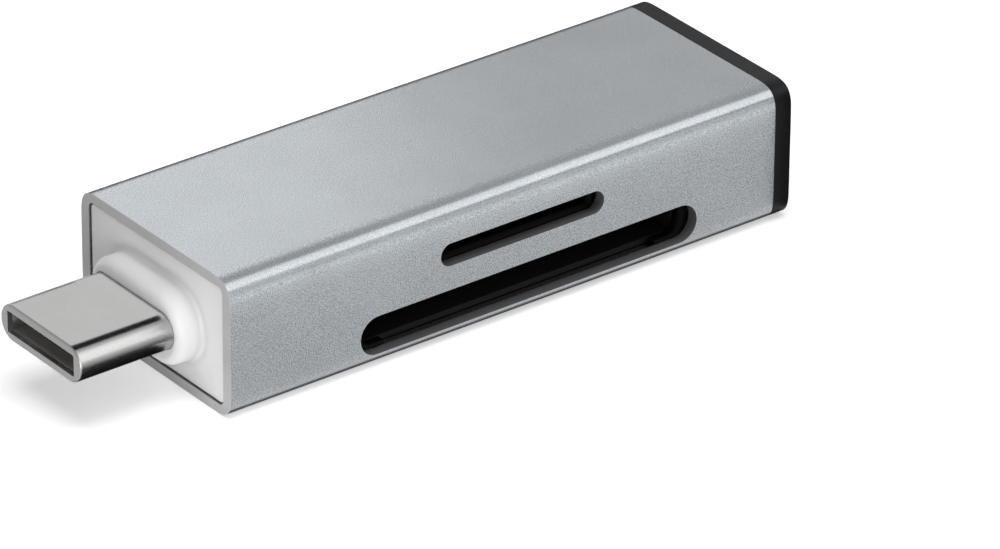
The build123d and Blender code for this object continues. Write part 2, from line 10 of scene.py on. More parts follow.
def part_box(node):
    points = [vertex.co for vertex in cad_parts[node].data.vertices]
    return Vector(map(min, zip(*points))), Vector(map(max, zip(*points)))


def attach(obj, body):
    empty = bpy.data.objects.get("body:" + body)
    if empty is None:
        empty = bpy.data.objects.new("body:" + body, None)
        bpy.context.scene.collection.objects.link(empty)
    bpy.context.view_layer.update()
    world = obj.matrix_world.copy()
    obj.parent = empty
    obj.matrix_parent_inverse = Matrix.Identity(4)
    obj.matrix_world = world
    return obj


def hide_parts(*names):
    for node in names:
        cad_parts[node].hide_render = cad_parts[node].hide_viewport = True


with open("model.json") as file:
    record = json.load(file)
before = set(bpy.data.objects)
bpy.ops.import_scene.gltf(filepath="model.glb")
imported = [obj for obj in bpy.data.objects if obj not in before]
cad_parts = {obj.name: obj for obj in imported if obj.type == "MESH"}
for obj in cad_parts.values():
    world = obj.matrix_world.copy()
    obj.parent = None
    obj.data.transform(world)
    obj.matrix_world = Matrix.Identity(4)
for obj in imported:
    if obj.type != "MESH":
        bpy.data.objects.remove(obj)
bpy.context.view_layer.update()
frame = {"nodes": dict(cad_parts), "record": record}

bl_info = {
    "name": "USB Memory Card Reader",
    "version": (1, 0, 0),
    "blender": (4, 5, 0),
    "location": "View3D > Sidebar > Card Reader",
    "description": "Dresses the packed card reader in finished surfaces and sets it in a white studio",
    "category": "Object",
}

# All lengths are in metres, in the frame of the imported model
MM = 0.001
ARC_STEPS = 24
FILLET_STEPS = 12
BEND_STEPS = 4
SMOOTH_ANGLE = math.radians(35)
MERGE_DISTANCE = 0.0005 * MM
FLAT_ANGLE = math.radians(0.5)
CUT_OVERLAP = 1.0 * MM
WHITE = (1.0, 1.0, 1.0, 1.0)

# Faces of the plug whose normal has a smaller X belong to its front edge, which is painted darker as shade
FRONT_FACING = -0.2
# How far behind a card contact's tip its hump is looked for
HUMP_SEARCH = 3.0 * MM

# Places that come from the frame
sleeve_low, sleeve_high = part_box("housing_sleeve")
bezel_low, bezel_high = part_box("front_bezel")
cap_low, cap_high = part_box("rear_cap")
shell_low, shell_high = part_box("usb_c_shell")
board_top_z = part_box("circuit_board")[1].z
sleeve_size = sleeve_high - sleeve_low
sleeve_mid_z = (sleeve_low.z + sleeve_high.z) / 2
plug_width = shell_high.y - shell_low.y
plug_height = shell_high.z - shell_low.z
plug_z = (shell_low.z + shell_high.z) / 2
slot_places = {mount["name"]: Vector(mount["pos_m"]) for mount in frame["record"]["mounts"]}


# Kinds of property

def length(name, millimetres, description):
    """Length property, with its default given in millimetres"""
    return FloatProperty(
        name=name, description=description, default=millimetres * MM, min=0.0,
        unit="LENGTH", subtype="DISTANCE", precision=5,
    )


def colour(name, value, description):
    """Colour property of three linear parts"""
    return FloatVectorProperty(
        name=name, description=description, default=value, size=3, min=0.0, max=1.0, subtype="COLOR",
    )


def share(name, value, description):
    """Property from 0 to 1"""
    return FloatProperty(
        name=name, description=description, default=value, min=0.0, max=1.0, subtype="FACTOR",
    )


def turn(name, degrees, description):
    """Angle property, with its default given in degrees"""
    return FloatProperty(
        name=name, description=description, default=math.radians(degrees), unit="ROTATION", subtype="ANGLE",
    )


def power(name, watts, description):
    """Lamp power property"""
    return FloatProperty(
        name=name, description=description, default=watts, min=0.0, unit="POWER", subtype="POWER",
    )


def number(name, value, description):
    """Property that counts like pieces"""
    return IntProperty(name=name, description=description, default=value, min=2)


class SleeveSizes(bpy.types.PropertyGroup):
    """Sizes of the aluminium sleeve"""
    corner_radius: length("Corner radius", 1.3, "Radius of the four long edges")
    corner_reach: length("Corner reach", 2.1, "How far from each corner its soft rounding starts")
    side_wall: length("Side wall", 0.8, "Thickness of the two narrow walls")
    flat_wall: length("Flat wall", 0.65, "Thickness of the two broad walls")
    bore_radius: length("Bore radius", 0.45, "Corner radius of the bore")
    sd_slot_length: length("SD slot length", 25.54, "Length of the lower card slot")
    sd_slot_height: length("SD slot height", 2.62, "Height of the lower card slot")
    micro_slot_length: length("microSD slot length", 12.34, "Length of the upper card slot")
    micro_slot_height: length("microSD slot height", 1.54, "Height of the upper card slot")
    edge_break: length("Edge break", 0.04, "Width of the tiny bevel on cut edges")


class MouldingSizes(bpy.types.PropertyGroup):
    """Sizes of the white bezel and the black rear cap"""
    bezel_recess: length("Bezel recess", 0.1, "How far the bezel's plate sits inside the sleeve's rim")
    bezel_radius: length("Bezel corner radius", 0.37, "Corner radius of the bezel's plate")
    bezel_edge: length("Bezel edge", 0.08, "Rounding along the edge of the bezel's plate")
    boss_width: length("Boss width", 9.43, "Width of the boss around the plug")
    boss_height: length("Boss height", 4.9, "Height of the boss around the plug")
    boss_drop: length("Boss drop", 0.15, "How far the boss's middle lies under the plug's")
    boss_edge: length("Boss edge radius", 0.65, "Rounding of the boss towards the plug")
    boss_root: length("Boss root radius", 0.3, "Hollow rounding between boss and plate")
    plug_fit: length("Plug fit", 0.03, "Gap between the plug and its hole in the boss")
    cap_edge: length("Cap edge radius", 0.1, "Rounding of the rear cap's outer edge")
    cap_joint: length("Cap joint", 0.05, "Rounding of the cap's edge at the sleeve")
    cap_spigot_wall: length("Cap spigot wall", 0.9, "Thickness of the spigot's wall")
    cap_spigot_radius: length("Cap spigot radius", 0.45, "Corner radius of the spigot")


class PlugSizes(bpy.types.PropertyGroup):
    """Sizes of the plug and of the spring contacts"""
    shell_wall: length("Shell wall", 0.2, "Thickness of the plug's shell")
    shell_edge: length("Shell edge radius", 0.15, "Rounding of the plug's front edge")
    shell_lip: length("Shell lip", 0.35, "Depth of the inturned lip at the plug's mouth")
    mouth_width: length("Mouth width", 6.84, "Width of the plug's mouth")
    mouth_height: length("Mouth height", 1.4, "Height of the plug's mouth")
    mouth_radius: length("Mouth radius", 0.12, "Corner radius of the plug's mouth")
    mouth_edge: length("Mouth edge", 0.04, "Rounding of the mouth's edge")
    tab_length: length("Tab length", 1.8, "Length of the shell's two tabs at the board")
    tab_height: length("Tab height", 1.0, "Height of the shell's two tabs")
    contact_width: length("Plug contact width", 0.25, "Width of a plug contact")
    contact_thickness: length("Contact thickness", 0.12, "Thickness of the contact strip")
    contact_foot: length("Plug contact foot", 1.0, "Length of a plug contact's foot on the board")
    contact_hump: length("Plug contact hump", 2.0, "From a plug contact's tip to its hump")
    contact_bend: length("Contact bend radius", 0.12, "Bend radius of the contact strips")
    contact_count: number("Plug contacts", 12, "Contacts in each row")
    latch_thickness: length("Latch thickness", 0.2, "Thickness of a latch spring")
    latch_hook: length("Latch hook", 1.0, "From a latch spring's tip to its hook")
    latch_reach: length("Latch reach", 0.3, "How far a latch spring's hook stands into the mouth")


class SocketSizes(bpy.types.PropertyGroup):
    """Sizes of the card contacts and of the controller's leads"""
    sd_contact_width: length("SD contact width", 0.8, "Width of an SD contact")
    sd_contact_count: number("SD contacts", 9, "Contacts of the SD socket")
    micro_contact_width: length("microSD contact width", 0.5, "Width of a microSD contact")
    micro_contact_count: number("microSD contacts", 8, "Contacts of the microSD socket")
    contact_hump: length("Card contact hump", 1.6, "From a card contact's tip to its hump")
    contact_tail: length("Card contact tail", 0.45, "From the tail's face to the end of the foot")
    lead_width: length("Chip lead width", 0.22, "Width of a chip lead")
    lead_thickness: length("Chip lead thickness", 0.13, "Thickness of a chip lead")
    lead_shoulder: length("Chip lead shoulder", 0.3, "Level part of a lead beside the chip")
    lead_slope: length("Chip lead slope", 0.15, "Sloped part of a lead, seen from above")
    lead_edge: length("Chip lead edge", 0.75, "From the chip's corner to its first lead")
    lead_count: number("Chip leads", 8, "Leads on each side of the chip")
    edge_break: length("Edge break", 0.03, "Width of the bevel on the parts inside")


class ReaderFinish(bpy.types.PropertyGroup):
    """Colours and grain of the finishes"""
    aluminium: colour("Aluminium", (0.44, 0.468, 0.49), "Bead-blasted silver anodising")
    aluminium_roughness: share("Aluminium roughness", 0.26, "Roughness of the anodising")
    grain_size: length("Grain size", 0.073, "Size of the pebbles in the bead-blasted skin")
    grain_depth: length("Grain depth", 0.005, "Depth of the narrow walls' grain, about half the broad ones'")
    # The hollows between the pebbles are painted darker, as shade in the pits of the grain
    grain_pit_shade: share("Grain contrast", 0.76, "How much darker the hollows between the pebbles are")
    cut_rim: colour("Cut rim", (0.49, 0.49, 0.49), "Faced ends of the sleeve")
    # The slot walls' dark colour is painted shade from inside the slots
    slot_wall_painted_dark: colour("Slot wall", (0.15, 0.15, 0.152), "Dark milled walls of the card slots")
    white_plastic: colour("White plastic", (0.86, 0.86, 0.86), "Milky plastic of the bezel")
    black_plastic: colour("Black plastic", (0.0035, 0.0035, 0.0037), "Satin plastic of the rear cap")
    frame_plastic: colour("Frame plastic", (0.003, 0.003, 0.0031), "Plastic of the card guide")
    socket_plastic: colour("Socket plastic", (0.01, 0.01, 0.0105), "Plastic of sockets and chips")
    plug_plastic: colour("Plug plastic", (0.38, 0.38, 0.382), "Plastic inside the plug's mouth")
    plated_steel: colour("Plated steel", (0.53, 0.527, 0.523), "Satin nickel of the plug")
    # The plug's front edge is painted darker, as shade on the faces turned forwards
    front_edge_shade_steel: colour("Shaded front steel", (0.29, 0.288, 0.286), "Duller front edge of the plug's shell")
    spring_steel: colour("Spring steel", (0.55, 0.55, 0.54), "Rolled sheet of covers and springs")
    gold: colour("Gold", (0.83, 0.6, 0.25), "Plating of the contacts")
    solder_mask: colour("Solder mask", (0.012, 0.1, 0.045), "Lacquer of the circuit board")
    ceramic: colour("Ceramic", (0.3, 0.19, 0.11), "Fired body of the capacitors")
    tin: colour("Tin", (0.6, 0.6, 0.58), "Ends of capacitors and resistors")


class StudioSettings(bpy.types.PropertyGroup):
    """Camera, lamps and floor"""
    camera_turn: turn("Camera turn", 37.769, "How far the view is turned from +Y towards +X")
    camera_tilt: turn("Camera tilt", 28.799, "How far the camera looks down")
    camera_roll: turn("Camera roll", 0.469, "Roll of the camera")
    camera_distance: length("Camera distance", 441.849, "From the camera to the point it aims at")
    camera_aim: FloatVectorProperty(
        name="Camera aim", description="Point in the middle of the picture", size=3,
        default=(-2.047 * MM, -13.86 * MM, 7.7025 * MM), unit="LENGTH", subtype="TRANSLATION",
    )
    lens: FloatProperty(
        name="Lens", description="Focal length on a 36 mm wide sensor", default=270.99, min=1.0,
    )
    top_power: power("Top lamp", 1.9, "Broad lamp overhead")
    key_power: power("Key lamp", 1.3, "Long lamp that draws the bright line on the sleeve's near edge")
    fill_power: power("Fill lamp", 0.0038, "Small lamp beside the plug")
    plug_power: power("Plug lamp", 0.155, "Broad soft lamp for the plug alone")
    back_power: power("Back lamp", 0.0054, "Small panel that the broad top mirrors")
    zenith: share("Zenith", 0.62, "Brightness of the white surroundings straight overhead")
    ambient: share("Ambient", 0.03, "Light from the surroundings on dull surfaces")
    floor_white: share("Floor white", 0.9, "Lightness of the floor")
    floor_lift: share("Floor lift", 0.48, "White added to the floor where it is seen or mirrored")


# Node trees

class Graph:
    """Adds nodes to one tree, with their settings and links"""

    def __init__(self, tree):
        self.tree = tree

    def feed(self, socket, value):
        """Links a socket, or sets its value"""
        if isinstance(value, bpy.types.NodeSocket):
            self.tree.links.new(value, socket)
        else:
            socket.default_value = value

    def add(self, kind, inputs, **settings):
        """New node with its settings, and its inputs by name or number"""
        node = self.tree.nodes.new(kind)
        for name, value in settings.items():
            setattr(node, name, value)
        for key, value in inputs.items():
            self.feed(node.inputs[key], value)
        return node

    def math(self, operation, first, second=0.0):
        """Result of one sum"""
        return self.add("ShaderNodeMath", {0: first, 1: second}, operation=operation).outputs[0]

    def noise(self, vector, size, detail=3.0):
        """Noise whose patches are about that size, from 0 to 1"""
        inputs = {"Vector": vector, "Scale": 1 / size, "Detail": detail, "Roughness": 0.55}
        return self.add("ShaderNodeTexNoise", inputs).outputs["Fac"]

    def stretched(self, vector, scale):
        """Coordinates scaled along each axis"""
        return self.add("ShaderNodeMapping", {"Vector": vector, "Scale": scale}).outputs["Vector"]

    def span(self, value, low, high, start=0.0, end=1.0):
        """Value remapped from start and end to low and high, and held between them"""
        inputs = {"Value": value, "From Min": start, "From Max": end, "To Min": low, "To Max": high}
        return self.add("ShaderNodeMapRange", inputs).outputs["Result"]

    def mix(self, factor, first, second):
        """Colour between two"""
        node = self.add("ShaderNodeMix", {"Factor": factor}, data_type="RGBA")
        sockets = [socket for socket in node.inputs if socket.type == "RGBA"]
        self.feed(sockets[0], first)
        self.feed(sockets[1], second)
        return next(socket for socket in node.outputs if socket.type == "RGBA")

    def bump(self, height, depth):
        """Normal of a relief whose height runs from 0 to 1"""
        inputs = {"Height": height, "Distance": depth, "Strength": 1.0}
        return self.add("ShaderNodeBump", inputs).outputs["Normal"]

    def uneven(self, texture, roughness):
        """Roughness that a texture makes a little smoother or duller"""
        return self.span(texture, roughness - 0.05, roughness + 0.07, 0.3, 0.7)

    def hollow(self, distance):
        """1 in corners that are closed within a distance and 0 in the open, as a mask for painted shade"""
        node = self.add("ShaderNodeAmbientOcclusion", {"Distance": distance}, samples=8, only_local=True)
        return self.span(node.outputs["AO"], 1.0, 0.0, 0.4, 0.95)

    def sharp_edge_mask(self, radius, start, end):
        """1 on sharp edges and 0 on flats"""
        soft = self.add("ShaderNodeBevel", {"Radius": radius}, samples=6).outputs["Normal"]
        hard = self.add("ShaderNodeNewGeometry", {}).outputs["Normal"]
        likeness = self.add("ShaderNodeVectorMath", {0: soft, 1: hard}, operation="DOT_PRODUCT")
        return self.span(likeness.outputs["Value"], 1.0, 0.0, start=start, end=end)


def opaque(value):
    """Colour with an alpha of 1"""
    return (value[0], value[1], value[2], 1.0)


def tinted(value, factor):
    """Colour made lighter or darker"""
    return opaque([min(1.0, part * factor) for part in value])


def new_material(name, preview):
    """Material with its graph, its main shader and its Object coordinates"""
    material = bpy.data.materials.new(name)
    material.use_nodes = True
    material.diffuse_color = opaque(preview)
    graph = Graph(material.node_tree)
    shader = material.node_tree.nodes["Principled BSDF"]
    place = graph.add("ShaderNodeTexCoord", {}).outputs["Object"]
    return material, graph, shader, place


def set_shader(graph, shader, **inputs):
    """Feeds a shader's inputs, named with underscores for spaces"""
    for name, value in inputs.items():
        graph.feed(shader.inputs[name.replace("_", " ")], value)


def anodised_aluminium(finish):
    """Bead-blasted skin: pebbles that show most on the narrow walls, with painted shade in their hollows,
    cloudy colour, and edges drawn lighter as wear and as a painted highlight
    """
    material, graph, shader, place = new_material("anodised aluminium", finish.aluminium)
    pebbles = graph.noise(place, finish.grain_size, 2.0)
    sparkle = graph.noise(place, finish.grain_size / 3)
    clouds = graph.noise(place, 4.0 * MM)
    relief = graph.math("ADD", graph.math("MULTIPLY", pebbles, 0.75), graph.math("MULTIPLY", sparkle, 0.25))
    cloudy = graph.span(clouds, 0.0, 1.0, 0.3, 0.7)
    skin = graph.mix(cloudy, tinted(finish.aluminium, 0.96), tinted(finish.aluminium, 1.04))
    facing = graph.add("ShaderNodeNewGeometry", {}).outputs["Normal"]
    way = graph.add("ShaderNodeSeparateXYZ", {"Vector": facing}).outputs
    sideways = graph.math("ABSOLUTE", way["Y"])
    slanted = graph.math("MULTIPLY", sideways, graph.math("ABSOLUTE", way["Z"]))
    flatness = graph.span(slanted, 1.0, 0.5, 0.0, 0.35)
    # Painted shade: the hollows between the pebbles are drawn darker, most on the narrow walls and least on
    # the rounded corners
    hollows = graph.math("MULTIPLY", graph.span(relief, 1.0, 0.0, 0.33, 0.6), graph.span(sideways, 0.8, 1.0))
    hollows = graph.math("MULTIPLY", hollows, flatness)
    broad_depth = 2.1 * finish.grain_depth
    depth = graph.math("MULTIPLY", graph.span(sideways, broad_depth, finish.grain_depth), flatness)
    pitted_with_painted_shade = graph.mix(hollows, skin, tinted(finish.aluminium, 1.0 - finish.grain_pit_shade))
    # Edges drawn lighter: partly wear of the anodising, partly a painted highlight along them
    edges = graph.sharp_edge_mask(0.06 * MM, 0.75, 0.97)
    edge_wear_and_sheen = graph.mix(graph.math("MULTIPLY", edges, 0.5), pitted_with_painted_shade, tinted(finish.aluminium, 1.35))
    rough = graph.uneven(sparkle, finish.aluminium_roughness)
    set_shader(graph, shader, Base_Color=edge_wear_and_sheen, Metallic=1.0, Roughness=rough,
               Normal=graph.bump(relief, depth))
    return material


def cut_rim(finish):
    """Faced ends of the sleeve: dull bare metal with faint tool lines"""
    material, graph, shader, place = new_material("cut rim", finish.cut_rim)
    lines = graph.noise(graph.stretched(place, (1.0, 1.0, 12.0)), 0.4 * MM)
    clouds = graph.noise(place, 2.0 * MM)
    metal = graph.mix(clouds, tinted(finish.cut_rim, 0.93), tinted(finish.cut_rim, 1.06))
    set_shader(graph, shader, Base_Color=metal, Roughness=graph.span(lines, 0.35, 0.45, 0.3, 0.7),
               Normal=graph.bump(lines, 0.0015 * MM))
    return material


def slot_wall_painted_dark(finish):
    """Milled walls of the slots: dull, with tool lines along the cut, and painted dark as the shade inside
    the slots
    """
    material, graph, shader, place = new_material("slot wall", finish.slot_wall_painted_dark)
    lines = graph.noise(graph.stretched(place, (1.0, 12.0, 1.0)), 0.4 * MM)
    clouds = graph.noise(place, 2.0 * MM)
    wall = graph.mix(clouds, tinted(finish.slot_wall_painted_dark, 0.9), tinted(finish.slot_wall_painted_dark, 1.1))
    set_shader(graph, shader, Base_Color=wall, Roughness=graph.span(lines, 0.18, 0.26, 0.3, 0.7),
               Normal=graph.bump(lines, 0.0015 * MM))
    return material


def white_plastic(finish):
    """Milky moulding: light soaks in, with a faint satin texture and painted shade in the hollows around the
    boss
    """
    material, graph, shader, place = new_material("white plastic", finish.white_plastic)
    texture = graph.noise(place, 0.12 * MM)
    clouds = graph.noise(place, 3.0 * MM)
    body = graph.mix(clouds, tinted(finish.white_plastic, 0.985), tinted(finish.white_plastic, 1.015))
    # Painted shade: the body is drawn darker where the surface closes in, at the boss's root
    corners = graph.math("MULTIPLY", graph.hollow(0.8 * MM), 0.75)
    shaded = graph.mix(corners, body, tinted(finish.white_plastic, 0.5))
    set_shader(graph, shader, Base_Color=shaded, Roughness=graph.span(texture, 0.34, 0.44, 0.3, 0.7),
               Subsurface_Weight=0.35, Subsurface_Radius=(1.0, 1.0, 1.0), Subsurface_Scale=0.6 * MM,
               Normal=graph.bump(texture, 0.0012 * MM))
    return material


def moulded_plastic(name, tone, texture_size, texture_depth, roughness, gloss, edge_wear_and_glint=2.0):
    """Moulding with a spark-eroded texture, whose edges are drawn lighter by a factor: rubbed wear at small
    factors, a painted highlight at large ones
    """
    material, graph, shader, place = new_material(name, tone)
    texture = graph.noise(place, texture_size)
    clouds = graph.noise(place, 3.0 * MM)
    edges = graph.sharp_edge_mask(0.06 * MM, 0.8, 0.98)
    body = graph.mix(clouds, tinted(tone, 0.85), tinted(tone, 1.15))
    # Lighter edges: wear, and with a large factor a painted highlight
    edges_worn_and_glinting = graph.mix(graph.math("MULTIPLY", edges, 0.6), body, tinted(tone, edge_wear_and_glint))
    set_shader(graph, shader, Base_Color=edges_worn_and_glinting, Specular_IOR_Level=gloss,
               Normal=graph.bump(texture, texture_depth), Roughness=graph.uneven(texture, roughness))
    return material


def bright_metal(name, tone, roughness, streaks):
    """Plated or rolled metal: lines along its length and faint handling marks"""
    material, graph, shader, place = new_material(name, tone)
    lines = graph.noise(graph.stretched(place, streaks), 0.3 * MM)
    marks = graph.noise(place, 1.2 * MM)
    metal = graph.mix(marks, tinted(tone, 0.94), tinted(tone, 1.04))
    rough = graph.math("ADD", graph.span(lines, -0.03, 0.03, 0.3, 0.7),
                       graph.span(marks, roughness, roughness + 0.05))
    set_shader(graph, shader, Base_Color=metal, Metallic=1.0, Roughness=rough,
               Normal=graph.bump(lines, 0.0001 * MM))
    return material


def board_laminate(finish):
    """Solder mask over copper tracks, on a glass weave"""
    material, graph, shader, place = new_material("board laminate", finish.solder_mask)
    waves = {"Vector": place, "Scale": 0.4 / MM, "Distortion": 6.0, "Detail": 1.0}
    weave = graph.add("ShaderNodeTexWave", waves)
    tracks = graph.span(weave.outputs["Fac"], 0.0, 1.0, 0.45, 0.55)
    clouds = graph.noise(place, 1.5 * MM)
    mask = graph.mix(tracks, tinted(finish.solder_mask, 0.75), tinted(finish.solder_mask, 1.3))
    lacquer = graph.mix(graph.span(clouds, 0.0, 0.3), mask, tinted(finish.solder_mask, 0.6))
    set_shader(graph, shader, Base_Color=lacquer, Roughness=graph.span(clouds, 0.25, 0.4),
               Normal=graph.bump(tracks, 0.01 * MM))
    return material


def tinned_body(name, tone, tin, middle, half_body):
    """Small part with plated ends: its body runs half_body each way from middle, along X"""
    material, graph, shader, place = new_material(name, tone)
    along = graph.add("ShaderNodeSeparateXYZ", {"Vector": place}).outputs["X"]
    reach = graph.math("ABSOLUTE", graph.math("SUBTRACT", along, middle))
    wobble = graph.math("MULTIPLY", graph.noise(place, 0.2 * MM), 0.06 * MM)
    ends = graph.math("GREATER_THAN", graph.math("ADD", reach, wobble), half_body)
    speckle = graph.noise(place, 0.08 * MM)
    body = graph.mix(speckle, tinted(tone, 0.8), tinted(tone, 1.15))
    plated = graph.mix(ends, body, opaque(tin))
    set_shader(graph, shader, Base_Color=plated, Metallic=ends, Roughness=graph.span(speckle, 0.35, 0.5),
               Normal=graph.bump(speckle, 0.002 * MM))
    return material


# Meshes

def add_object(name, data):
    """New object at the origin, in the scene"""
    piece = bpy.data.objects.new(name, data)
    bpy.context.scene.collection.objects.link(piece)
    return piece


def mesh_from(maker, name):
    """Mesh from a closed bmesh, with doubles merged and faces turned outwards"""
    bmesh.ops.remove_doubles(maker, verts=maker.verts, dist=MERGE_DISTANCE)
    bmesh.ops.dissolve_degenerate(maker, edges=maker.edges, dist=MERGE_DISTANCE)
    bmesh.ops.recalc_face_normals(maker, faces=maker.faces)
    mesh = bpy.data.meshes.new(name)
    maker.to_mesh(mesh)
    maker.free()
    return mesh


def corner_arc(radius, reach):
    """Quarter turn as pairs of points: an arc, or a corner as deep that starts further out"""
    exponent = -math.log(2) / math.log(1 - (1 - math.sqrt(0.5)) * radius / reach)
    points = [(reach, 0.0)]
    for step in range(1, ARC_STEPS):
        slope = math.tan(step / ARC_STEPS * math.pi / 2) ** (1 / (exponent - 1))
        along = reach / (1 + slope ** exponent) ** (1 / exponent)
        points.append((along, slope * along))
    points.append((0.0, reach))
    return points


def rounded_ring(x, width, height, radius, centre_z, reach=None):
    """Ring of points across the reader at x, on a rectangle with rounded corners"""
    reach = reach or radius
    points = []
    for corner, (side_y, side_z) in enumerate(((1, 1), (-1, 1), (-1, -1), (1, -1))):
        for run, rise in corner_arc(radius, reach):
            for _ in range(corner):
                run, rise = -rise, run
            y = side_y * (width / 2 - reach) + run
            z = side_z * (height / 2 - reach) + rise
            points.append(Vector((x, y, centre_z + z)))
    return points


def slot_ring(x, width, height, centre_z):
    """Ring of points on a slot shape with round ends"""
    return rounded_ring(x, width, height, height / 2, centre_z)


def add_loft(maker, rings, looped):
    """Skin over rings of equal counts, joined end to end or closed by a flat face at each end"""
    rows = [[maker.verts.new(point) for point in ring] for ring in rings]
    pairs = list(zip(rows, rows[1:]))
    if looped:
        pairs.append((rows[-1], rows[0]))
    for first, second in pairs:
        count = len(first)
        for i in range(count):
            j = (i + 1) % count
            maker.faces.new((first[i], first[j], second[j], second[i]))
    if not looped:
        maker.faces.new(rows[0])
        maker.faces.new(rows[-1])


def quarter(radius, start=0.0, end=90.0):
    """Points of an arc as pairs of cosine and sine parts"""
    for step in range(FILLET_STEPS + 1):
        angle = math.radians(start + (end - start) * step / FILLET_STEPS)
        yield radius * math.cos(angle), radius * math.sin(angle)


def bake_modifiers(piece):
    """Makes the evaluated mesh the piece's own and removes its modifiers"""
    graph = bpy.context.evaluated_depsgraph_get()
    finished = piece.evaluated_get(graph)
    mesh = bpy.data.meshes.new_from_object(finished, preserve_all_data_layers=True, depsgraph=graph)
    mesh.name = piece.name
    piece.modifiers.clear()
    piece.data = mesh


def cut_away(piece, cutter):
    """Takes the cutter's volume out of the piece and deletes the cutter"""
    cut = piece.modifiers.new("cut", "BOOLEAN")
    cut.operation = "DIFFERENCE"
    cut.solver = "EXACT"
    cut.object = cutter
    bake_modifiers(piece)
    bpy.data.objects.remove(cutter)


def ease_edges(piece, width, segments=2):
    """Bevels the sharp edges, if a width is given, and lets the flats keep their normals"""
    piece.data.shade_smooth()
    if width:
        bevel = piece.modifiers.new("eased edges", "BEVEL")
        bevel.width = width
        bevel.segments = segments
        bevel.limit_method = "ANGLE"
        bevel.angle_limit = SMOOTH_ANGLE
        bevel.use_clamp_overlap = True
    weighted = piece.modifiers.new("weighted normals", "WEIGHTED_NORMAL")
    weighted.weight = 100
    weighted.keep_sharp = True
    bake_modifiers(piece)


def dress(piece, material, slot, *nodes):
    """Gives a piece its finish and its place in the frame"""
    if not piece.data.materials:
        piece.data.materials.append(material)
    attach(piece, "root")
    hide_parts(*nodes)


def eased_copy(name, node, width):
    """Merged copy of a CAD node with its sharp edges eased"""
    source = frame["nodes"][node].data
    maker = bmesh.new()
    corners = [maker.verts.new(vertex.co) for vertex in source.vertices]
    for polygon in source.polygons:
        maker.faces.new([corners[i] for i in polygon.vertices])
    bmesh.ops.remove_doubles(maker, verts=maker.verts, dist=MERGE_DISTANCE)
    bmesh.ops.dissolve_limit(maker, angle_limit=FLAT_ANGLE, verts=maker.verts, edges=maker.edges)
    piece = add_object(name, mesh_from(maker, name))
    ease_edges(piece, width)
    return piece


# Geometry node trees

def new_tree(name, inputs):
    """Geometry tree with named inputs and one output"""
    tree = bpy.data.node_groups.new(name, "GeometryNodeTree")
    for label, kind in inputs.items():
        tree.interface.new_socket(name=label, in_out="INPUT", socket_type="NodeSocket" + kind)
    tree.interface.new_socket(name="Geometry", in_out="OUTPUT", socket_type="NodeSocketGeometry")
    graph = Graph(tree)
    given = graph.add("NodeGroupInput", {}).outputs
    return tree, graph, given


def run_tree(piece, tree, values):
    """Runs a tree on a piece with its inputs set, and keeps the result as a plain mesh"""
    modifier = piece.modifiers.new(tree.name, "NODES")
    modifier.node_group = tree
    sockets = {
        item.name: item.identifier for item in tree.interface.items_tree
        if item.item_type == "SOCKET" and item.in_out == "INPUT"
    }
    for label, value in values.items():
        modifier[sockets[label]] = value
    bake_modifiers(piece)


def rectangle(graph, width, height):
    """Closed curve of a rectangle"""
    return graph.add("GeometryNodeCurvePrimitiveQuadrilateral", {"Width": width, "Height": height})


def filleted(graph, curve, radius, steps):
    """Curve with its corners rounded"""
    inputs = {"Curve": curve.outputs[0], "Radius": radius, "Limit Radius": True, "Count": steps}
    return graph.add("GeometryNodeFilletCurve", inputs, mode="POLY")


def drawn_along(graph, path, profile):
    """Solid of a profile drawn along a path, closed at both ends"""
    inputs = {"Curve": path.outputs[0], "Profile Curve": profile.outputs[0], "Fill Caps": True}
    return graph.add("GeometryNodeCurveToMesh", inputs)


def end_tree(graph, geometry, material):
    """Ends a tree with real geometry in its material"""
    real = graph.add("GeometryNodeRealizeInstances", {"Geometry": geometry})
    finished = graph.add("GeometryNodeSetMaterial", {"Geometry": real.outputs[0], "Material": material})
    graph.add("NodeGroupOutput", {0: finished.outputs[0]})


def prism_tree():
    """Rounded rectangle drawn out to a length, then turned and moved"""
    tree, graph, given = new_tree("Rounded prism", {
        "Width": "Float", "Height": "Float", "Radius": "Float", "Length": "Float",
        "Turn": "Vector", "Place": "Vector",
    })
    outline = rectangle(graph, given["Width"], given["Height"])
    rounded = filleted(graph, outline, given["Radius"], ARC_STEPS)
    end = graph.add("ShaderNodeCombineXYZ", {"Z": given["Length"]}).outputs[0]
    path = graph.add("GeometryNodeCurvePrimitiveLine", {"Start": (0.0, 0.0, 0.0), "End": end})
    drawn = drawn_along(graph, path, rounded).outputs[0]
    merged = graph.add("GeometryNodeMergeByDistance", {"Geometry": drawn, "Distance": MERGE_DISTANCE})
    turned = graph.add("FunctionNodeEulerToRotation", {"Euler": given["Turn"]}).outputs[0]
    placing = {"Geometry": merged.outputs[0], "Translation": given["Place"], "Rotation": turned}
    placed = graph.add("GeometryNodeTransform", placing)
    graph.add("NodeGroupOutput", {0: placed.outputs[0]})
    return tree


